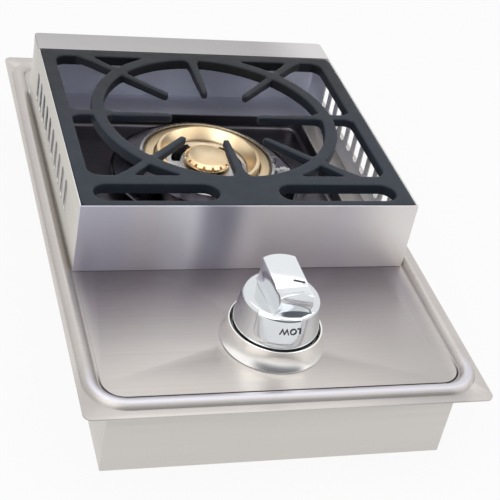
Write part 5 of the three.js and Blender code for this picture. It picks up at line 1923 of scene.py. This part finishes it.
    def build_plug(self) -> Workpiece:
        """The glazed ceramic of the spark plug, with its collar."""
        plug = Workpiece.bar(
            "igniter_ceramic_glazed", self.plug_place, self.plug_length, self.plug, Axis.X, 40
        )
        start, length, radius = self.plug_collar
        place = (start, *self.plug_place[1:])
        plug.fuse(Workpiece.bar("collar", place, length, radius, Axis.X, 40))
        plug.soften(0.45, 3, 40)
        return plug

    def dress(self) -> None:
        """Builds the burner's pieces and sets them in the frame."""
        self.build_casting().set_in_frame("housing", "cast_alloy", CAST_ALLOY, ["burner_casting"])
        lower, upper = self.build_lower_ring(), self.build_upper_ring()
        lower.set_in_frame("flame_rings", "flame_brass", FLAME_BRASS, ["lower_flame_ring"], 25)
        upper.set_in_frame("flame_rings", "flame_brass", FLAME_BRASS, ["upper_flame_ring"], 25)
        self.build_cap().set_in_frame(
            "flame_cap", "flame_brass", FLAME_BRASS, ["centre_flame_cap"], 25
        )
        self.build_plug().set_in_frame("housing", "igniter_ceramic", CERAMIC, ["igniter_ceramic"])


# ---- Knob


@dataclass
class Knob:
    """The bezel on the deck and the knob that stands in it."""

    centre: Flat = KNOB_CENTRE
    bezel_foot: float = 43.0
    bezel_rim: float = 38.3
    bezel_low: float = DECK_TOP + SEAM
    bezel_top: float = 92.2
    bezel_waist: float = 1.6
    bezel_wall: float = 1.5
    bezel_hole: float = 12.0
    bezel_steps: int = 14
    screw_reach: float = 27.5
    screw_hole: float = 2.2
    low: float = 82.6
    base: float = 35.0
    base_top: float = 94.6
    shoulder: float = 31.6
    shoulder_top: float = 120.6
    shoulder_round: float = 3.4
    wall: float = 3.0
    hub: float = 10.0
    hub_foot: float = 79.6
    bore: float = 5.4
    bore_top: float = 98.6
    round_steps: int = 8
    flank_rows: int = 34
    crown_rings: int = 10
    grip_half_width: float = 14.4
    grip_rear: float = 20.5
    grip_bow: float = 4.0
    grip_front: float = -24.5
    grip_levels: tuple[Point, ...] = (
        (2.6, 1.0, 0.2),
        (9.5, 0.965, -2.8),
        (17.6, 0.945, -2.3),
        (20.4, 0.935, -1.6),
    )
    grip_fall: float = 2.2
    grip_yaw: float = math.radians(2.2)
    grip_shift: float = 0.5
    grip_edge: float = 0.9
    hollow_radius: float = 30.0
    hollow_depth: float = 3.4
    scoop_radius: float = 14.0
    scoop_depth: float = 1.3
    scoop_place: float = -17.0
    tab_half_width: float = 19.0
    tab_turn: float = math.radians(-18)
    tab_low: float = 97.0
    tab_corner: float = 8.0
    tab_rise: float = 1.2
    tab_edge: float = 1.5
    mark_from: Flat = (3.6, -7.2)
    mark_to: Flat = (12.4, -10.4)
    mark_width: float = 1.8
    mark_rise: float = 0.35
    word: str = "LOW"
    word_height: float = 5.2
    capital_share: float = 0.7
    letter_depth: float = 0.25
    letter_weight: float = 0.12
    letter_gap: float = 1.05
    word_middle: Flat = (-0.2, 110.2)

    def build_bezel(self) -> Workpiece:
        """The flared ring, open in the middle, with its two screw holes."""
        shares = [i / self.bezel_steps for i in range(self.bezel_steps + 1)]
        floor = self.bezel_low + self.bezel_wall
        outside = [
            (self._flare(share), self.bezel_low + (self.bezel_top - self.bezel_low) * share)
            for share in shares
        ]
        inside = [
            (self._flare(share) - self.bezel_wall, floor + (self.bezel_top - floor) * share)
            for share in reversed(shares)
        ]
        bezel = Workpiece.turned(
            "knob_bezel_spun",
            [(self.bezel_hole, self.bezel_low), *outside, *inside, (self.bezel_hole, floor)],
            self.centre,
            160,
        )
        bezel.soften(0.45, 3, 40)
        bezel.cut(
            *(
                Workpiece.bar(
                    "screw_tool",
                    (side * self.screw_reach, self.centre[1], self.bezel_low - OVERRUN),
                    self.bezel_wall + 2 * OVERRUN,
                    self.screw_hole,
                    Axis.Z,
                    24,
                )
                for side in (-1, 1)
            )
        )
        return bezel

    def _flare(self, share: float) -> float:
        """The bezel's outer radius at a share of its height."""
        straight = self.bezel_foot + (self.bezel_rim - self.bezel_foot) * share
        return straight - 4 * self.bezel_waist * share * (1 - share)

    def build_skirt(self) -> Workpiece:
        """The tapered skirt, spun from its section, with the raised field in front."""
        steps = range(self.round_steps + 1)
        corner = (self.shoulder - self.shoulder_round, self.shoulder_top - self.shoulder_round)
        shoulder = [
            (
                corner[0] + self.shoulder_round * math.cos(i / self.round_steps * QUARTER_TURN),
                corner[1] + self.shoulder_round * math.sin(i / self.round_steps * QUARTER_TURN),
            )
            for i in steps
        ]
        rows, rings = self.flank_rows, self.crown_rings
        flank = [
            (
                self.base + (shoulder[0][0] - self.base) * i / rows,
                self.base_top + (shoulder[0][1] - self.base_top) * i / rows,
            )
            for i in range(rows)
        ]
        crown = [(shoulder[-1][0] * (1 - i / rings), self.shoulder_top) for i in range(1, rings)]
        roof = self.shoulder_top - self.wall
        skirt = Workpiece.turned(
            "control_knob_chrome",
            [
                (0, self.bore_top),
                (self.bore, self.bore_top),
                (self.bore, self.hub_foot),
                (self.hub, self.hub_foot),
                (self.hub, roof),
                (corner[0], roof),
                (self.base - self.wall, self.base_top),
                (self.base - self.wall, self.low),
                (self.base - 0.5, self.low),
                (self.base, self.low + 0.5),
                *flank,
                *shoulder,
                *crown,
                (0, self.shoulder_top),
            ],
            self.centre,
            288,
            closed=False,
        )
        self._raise_field(skirt)
        return skirt

    def _raise_field(self, skirt: Workpiece) -> None:
        """Lifts the field on the front of the skirt, with soft steps at its edges.

        Args:
            skirt: The spun skirt.
        """
        for point in skirt.body.data.vertices:
            x, y = point.co.x - self.centre[0], point.co.y - self.centre[1]
            reach = math.hypot(x, y)
            outside = reach > self.shoulder - self.shoulder_round - 0.1
            if y > 0.2 * self.base or not outside or point.co.z < self.low + 1:
                continue
            across = reach * (math.atan2(x, -y) - self.tab_turn)
            lift = self.tab_rise * self._field_share(across, point.co.z)
            flat = min(1.0, max(0.0, (self.shoulder_top - point.co.z) / self.shoulder_round))
            point.co.x += lift * x / reach * math.sqrt(flat)
            point.co.y += lift * y / reach * math.sqrt(flat)

    def _field_share(self, x: float, z: float) -> float:
        """How much of the raised field's height a place has.

        Args:
            x: The place round the knob, from the middle of the field.
            z: Its height.

        Returns:
            1 inside the field and 0 outside it.
        """
        corner = self.tab_corner
        over_x = abs(x) - (self.tab_half_width - corner)
        under_z = (self.tab_low + corner) - z
        outside = math.hypot(max(over_x, 0), max(under_z, 0)) + min(max(over_x, under_z), 0)
        share = (corner - outside) / self.tab_edge
        share = min(1.0, max(0.0, share))
        return share * share * (3 - 2 * share)

    def build_grip(self) -> Workpiece:
        """The bar that is held: drafted sides, a bowed rear, a hollow front and a scoop."""
        half, front, rear = self.grip_half_width, self.grip_front, self.grip_rear
        foot = self.shoulder_top - 1
        radius = (half * half + self.grip_bow**2) / (2 * self.grip_bow)
        swing = math.asin(half / radius)
        steps = range(-self.round_steps, self.round_steps + 1)
        bow = [
            (
                radius * math.sin(swing * i / self.round_steps),
                rear + self.grip_bow - radius * (1 - math.cos(swing * i / self.round_steps)),
                foot,
            )
            for i in steps
        ]
        swing = math.asin(half / self.hollow_radius)
        deepest = front + self.hollow_depth
        hollow = [
            (
                -self.hollow_radius * math.sin(swing * i / self.round_steps),
                deepest - self.hollow_radius * (1 - math.cos(swing * i / self.round_steps)),
                foot,
            )
            for i in steps
        ]
        grip = Workpiece.drawn("knob_grip", [*bow, *hollow, bow[0]])
        grip.pick(Pick.POINTS)
        bpy.ops.mesh.remove_doubles(threshold=0.001)
        grip.pick(Pick.POINTS)
        bpy.ops.mesh.edge_face_add()
        height, width, lead = 0.0, 1.17, 0.0
        bpy.ops.transform.resize(value=(width, 1.03, 1), center_override=(0, 0, foot))
        for level, share, reach in self.grip_levels:
            grip.extrude((0, 0, level + 1 - height))
            height = level + 1
            bpy.ops.transform.resize(value=(share / width, 1, 1), center_override=(0, 0, foot))
            width = share
            grip.pick(
                Pick.POINTS,
                lambda place, way: place.y < 0 and abs(place.z - foot - height) < 0.01,
            )
            bpy.ops.transform.translate(value=(0, reach - lead, 0))
            lead = reach
            grip.pick(Pick.FACES, lambda place, way: abs(place.z - foot - height) < 0.01)
        grip.pick(Pick.POINTS, lambda place, way: place.y < 0 and place.z > foot + height - 0.01)
        bpy.ops.transform.translate(value=(0, 0, -self.grip_fall))
        grip.face_out()
        top = foot + height - self.grip_fall * 0.75
        grip.cut(
            Workpiece.bar(
                "scoop_tool",
                (-2 * half, self.scoop_place, top - self.scoop_depth + self.scoop_radius),
                4 * half,
                self.scoop_radius,
                Axis.X,
                128,
            )
        )
        grip.soften(self.grip_edge, 4, 32)
        grip.place((self.centre[0] + self.grip_shift, self.centre[1]), self.grip_yaw)
        return grip

    def build_mark(self, knob: Workpiece) -> Workpiece:
        """The black line on the grip that shows where the knob points.

        Args:
            knob: The finished knob, which the line is laid on.

        Returns:
            The line.
        """
        (x0, y0), (x1, y1) = self.mark_from, self.mark_to
        length = math.hypot(x1 - x0, y1 - y0)
        half = self.mark_width / 2
        mark = Workpiece.slab("pointer_line", (0, -half, -1), (length, half, 0), half * 0.9, 4)
        angle = math.atan2(y1 - y0, x1 - x0)
        mark.place((self.centre[0] + x0, self.centre[1] + y0), angle)
        bpy.context.view_layer.update()
        over = 2 * self.shoulder_top
        for point in mark.body.data.vertices:
            place = Vector((point.co.x, point.co.y, over))
            surface = knob.body.ray_cast(place, Vector((0, 0, -1)))[1]
            point.co.z += surface.z + self.mark_rise
        return mark

    def build_word(self) -> Workpiece:
        """The word on the raised field, upside down to someone in front."""
        clear_the_bench()
        bpy.ops.object.text_add()
        text = bpy.context.object
        text.data.body = self.word
        text.data.size = self.word_height / self.capital_share
        text.data.extrude = self.letter_depth
        text.data.offset = self.letter_weight
        text.data.space_character = self.letter_gap
        text.data.align_x = "CENTER"
        text.data.align_y = "CENTER"
        bpy.ops.object.convert(target="MESH")
        word = Workpiece("low_word")
        across, height = self.word_middle
        share = (height - self.base_top) / (self.shoulder_top - self.base_top)
        reach = self.base + (self.shoulder - self.base) * share + self.tab_rise
        lean = math.atan2(self.base - self.shoulder, self.shoulder_top - self.base_top)
        upright = Matrix.Rotation(QUARTER_TURN - lean, 4, "X") @ Matrix.Rotation(math.pi, 4, "Z")
        word.body.data.transform(Matrix.Translation((across, 0, height)) @ upright)
        for point in word.body.data.vertices:
            angle = point.co.x / reach
            depth = reach - point.co.y
            point.co.x = self.centre[0] + depth * math.sin(angle)
            point.co.y = self.centre[1] - depth * math.cos(angle)
        return word

    def dress(self) -> None:
        """Builds the bezel, the knob and its markings and sets them in the frame."""
        self.build_bezel().set_in_frame("housing", "knob_chrome", BEZEL_CHROME, ["knob_bezel"])
        knob = self.build_skirt()
        knob.add(self.build_grip())
        mark = self.build_mark(knob)
        knob.set_in_frame("knob", "knob_chrome", KNOB_CHROME, ["control_knob"], 40)
        mark.set_in_frame("knob", "black_plastic", DIAL_INK)
        self.build_word().set_in_frame("knob", "black_plastic", DIAL_INK)


# ---- What lies under the deck


@dataclass
class ValveSpring:
    """The return spring round the stem, which shortens as the knob is pushed."""

    centre: Flat = KNOB_CENTRE
    coil_radius: float = 6.4
    wire_radius: float = 0.6
    wire_sides: int = 8
    turns: int = 5
    steps_per_turn: int = 24
    travel: float = 3.0

    def build(self, foot: float, top: float) -> Workpiece:
        """A round wire carried up a helix, closed at both ends.

        Args:
            foot: The height of its lowest point.
            top: The height of its highest point.

        Returns:
            The spring.
        """
        angles = [FULL_TURN * i / self.wire_sides for i in range(self.wire_sides + 1)]
        start = foot + self.wire_radius
        wire = [
            (
                self.coil_radius + self.wire_radius * math.cos(angle),
                0,
                start + self.wire_radius * math.sin(angle),
            )
            for angle in angles
        ]
        spring = Workpiece.drawn("return_spring_wound", wire)
        spring.weld()
        spring.modify(
            "SCREW",
            angle=FULL_TURN,
            screw_offset=(top - foot - 2 * self.wire_radius) / self.turns,
            iterations=self.turns,
            steps=self.steps_per_turn,
            render_steps=self.steps_per_turn,
        )
        spring.pick(Pick.POINTS)
        bpy.ops.mesh.fill_holes(sides=self.wire_sides)
        spring.face_out()
        spring.place(self.centre)
        return spring

    def dress(self) -> None:
        """Builds the spring and hangs it on the housing."""
        low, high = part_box("valve_spring")
        foot, top = low[2] / MM, high[2] / MM
        spring = self.build(foot, top).set_in_frame(
            "housing", "zinc_steel", ZINC_PLATE, ["valve_spring"]
        )
        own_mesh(spring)


@dataclass
class Works:
    """The pieces that keep the frame's own shape: each gets its finish here."""

    finishes: tuple[tuple[Finish, tuple[str, ...]], ...] = (
        (LINER_STEEL, ("liner_floor", "heat_shield", "valve_bracket")),
        (SIDE_STEEL, ("grate_rail_left", "grate_rail_right")),
        (CAST_ALLOY, ("valve_body", "valve_bonnet")),
        (
            PLAIN_BRASS,
            ("valve_stem", "gas_orifice", "valve_inlet_nut", "inlet_union", "inlet_locknut"),
        ),
        (BLACK_PLASTIC, ("spark_unit",)),
        (LEAD_RUBBER, ("ignition_lead",)),
    )
    rest: Finish = ZINC_PLATE

    def dress(self, nodes: dict[str, bpy.types.Object]) -> None:
        """Dresses every node of the frame that no modelled piece stands for.

        Args:
            nodes: The frame's nodes by name.
        """
        finish_of = {name: finish for finish, names in self.finishes for name in names}
        for name, node in nodes.items():
            if node.hide_render:
                continue
            finish = finish_of.get(name, self.rest)
            node.data.materials.clear()
            node.data.materials.append(finish.material())
            log.info("%s: %s", name, finish.name)


# ---- Studio


@dataclass
class Studio:
    """The floor, the soft light, the white surround, the dark card and the camera."""

    floor_half: float = 4.0
    floor_level: float = -0.0005
    floor_paint: Colour = (0.86, 0.86, 0.86)
    floor_glow: float = 0.9
    eye: Point = (-0.3328, -0.94273, 0.7265)
    right: Point = (0.95313, -0.24907, 0.17179)
    up: Point = (0.01062, 0.59495, 0.80369)
    lens: float = 93.788
    sensor: float = 36.0
    clip: Flat = (0.01, 50.0)
    world_level: float = 0.5
    world_tint: Colour = (0.96, 0.98, 1.0)
    card_place: Point = (0.4, -3.0, 1.5)
    card_size: Flat = (9.0, 3.6)
    card_fade: Flat = (0.2, 0.5)
    card_level: float = 0.2
    card_tint: Colour = (0.86, 0.9, 1.0)
    lamp_size: float = 2.6
    lamp_aim: Point = (0.0, 0.0, 0.08)
    lamps: tuple[tuple[str, Point, float, Colour], ...] = (
        ("key_lamp", (-1.7, -1.3, 2.4), 28.0, (1.0, 0.99, 0.98)),
        ("fill_lamp", (2.3, -0.9, 2.2), 16.0, (0.98, 0.98, 1.0)),
        ("top_lamp", (0.1, 0.4, 3.0), 16.0, (1.0, 1.0, 1.0)),
    )

    def build_camera(self) -> None:
        """The camera where the photographer stood."""
        bpy.ops.object.camera_add()
        camera = bpy.context.object
        camera.name = "photograph_camera"
        right, up = Vector(self.right).normalized(), Vector(self.up)
        back = right.cross(up).normalized()
        up = back.cross(right)
        turn = Matrix((right, up, back)).transposed().to_4x4()
        camera.matrix_world = Matrix.Translation(self.eye) @ turn
        camera.data.lens = self.lens
        camera.data.sensor_width = self.sensor
        camera.data.sensor_fit = "HORIZONTAL"
        camera.data.clip_start, camera.data.clip_end = self.clip
        bpy.context.scene.camera = camera

    def build_lamp(self, name: str, place: Point, watts: float, tint: Colour) -> None:
        """A soft square lamp that looks at the object.

        Args:
            name: The name of the lamp.
            place: Where it hangs.
            watts: Its power.
            tint: Its colour.
        """
        clear_the_bench()
        bpy.ops.object.light_add(type="AREA", location=place)
        lamp = bpy.context.object
        lamp.name = name
        lamp.data.size = self.lamp_size
        lamp.data.energy = watts
        lamp.data.color = tint
        way = Vector(self.lamp_aim) - Vector(place)
        lamp.rotation_euler = way.to_track_quat("-Z", "Y").to_euler()

    def build_surround(self) -> None:
        """A white surround that lights the object softly."""
        world = bpy.data.worlds.new("studio_surround")
        bpy.context.scene.world = world
        board = NodeBoard(world)
        light = board.add(
            "ShaderNodeBackground", {"Color": (*self.world_tint, 1), "Strength": self.world_level}
        )
        white = board.add("ShaderNodeBackground", {"Color": (1, 1, 1, 1), "Strength": 1.0})
        board.show(board.seen_directly(), light, white, "ShaderNodeOutputWorld")

    def build_card(self) -> None:
        """A dark card in front, which only metal sees: it gives the steel its darker parts."""
        clear_the_bench()
        bpy.ops.mesh.primitive_plane_add(
            size=1, location=self.card_place, rotation=(QUARTER_TURN, 0, 0)
        )
        card = bpy.context.object
        card.name = "studio_card"
        card.scale = (*self.card_size, 1)
        board = NodeBoard(bpy.data.materials.new("studio_card_grey"))
        fades = []
        for axis in (Axis.X, Axis.Y):
            reach = board.add("ShaderNodeMath", {0: board.place(axis)}, operation="ABSOLUTE")
            fades.append(board.spread(reach.outputs[0], 1.0, 0.0, *self.card_fade, "SMOOTHSTEP"))
        clear = board.add("ShaderNodeBsdfTransparent")
        glow = board.add(
            "ShaderNodeEmission", {"Color": (*self.card_tint, 1), "Strength": self.card_level}
        )
        board.show(board.combine(*fades, "MULTIPLY"), clear, glow)
        card.data.materials.append(board.owner)
        card.visible_camera = False
        card.visible_diffuse = False
        card.visible_shadow = False

    def build_floor(self) -> None:
        """A pale floor that shows white and keeps a soft shadow."""
        clear_the_bench()
        bpy.ops.mesh.primitive_plane_add(
            size=2 * self.floor_half, location=(0, 0, self.floor_level)
        )
        floor = bpy.context.object
        floor.name = "studio_floor"
        board = NodeBoard(bpy.data.materials.new("studio_floor_white"))
        paint = board.add("ShaderNodeBsdfDiffuse", {"Color": (*self.floor_paint, 1)})
        glow = board.add("ShaderNodeEmission", {"Strength": 1.0})
        share = board.combine(board.seen_directly(), self.floor_glow, "MULTIPLY")
        board.show(share, paint, glow)
        floor.data.materials.append(board.owner)

    def build(self) -> None:
        """Sets up the whole studio."""
        self.build_camera()
        self.build_surround()
        self.build_floor()
        self.build_card()
        for lamp in self.lamps:
            self.build_lamp(*lamp)
        bpy.context.scene.view_settings.view_transform = "Standard"


def main() -> None:
    """Loads the frame, builds each sub-assembly in order and sets up the studio."""
    logging.basicConfig(level=logging.INFO, format="%(name)s: %(message)s")
    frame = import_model()
    Studio().build()
    for part in (Deck(), PotFrame(), PotGrate(), BurnerBay(), Burner(), Knob(), ValveSpring()):
        part.dress()
        log.info("%s is in place", type(part).__name__)
    Works().dress(frame["nodes"])


if __name__ == "__main__":
    main()
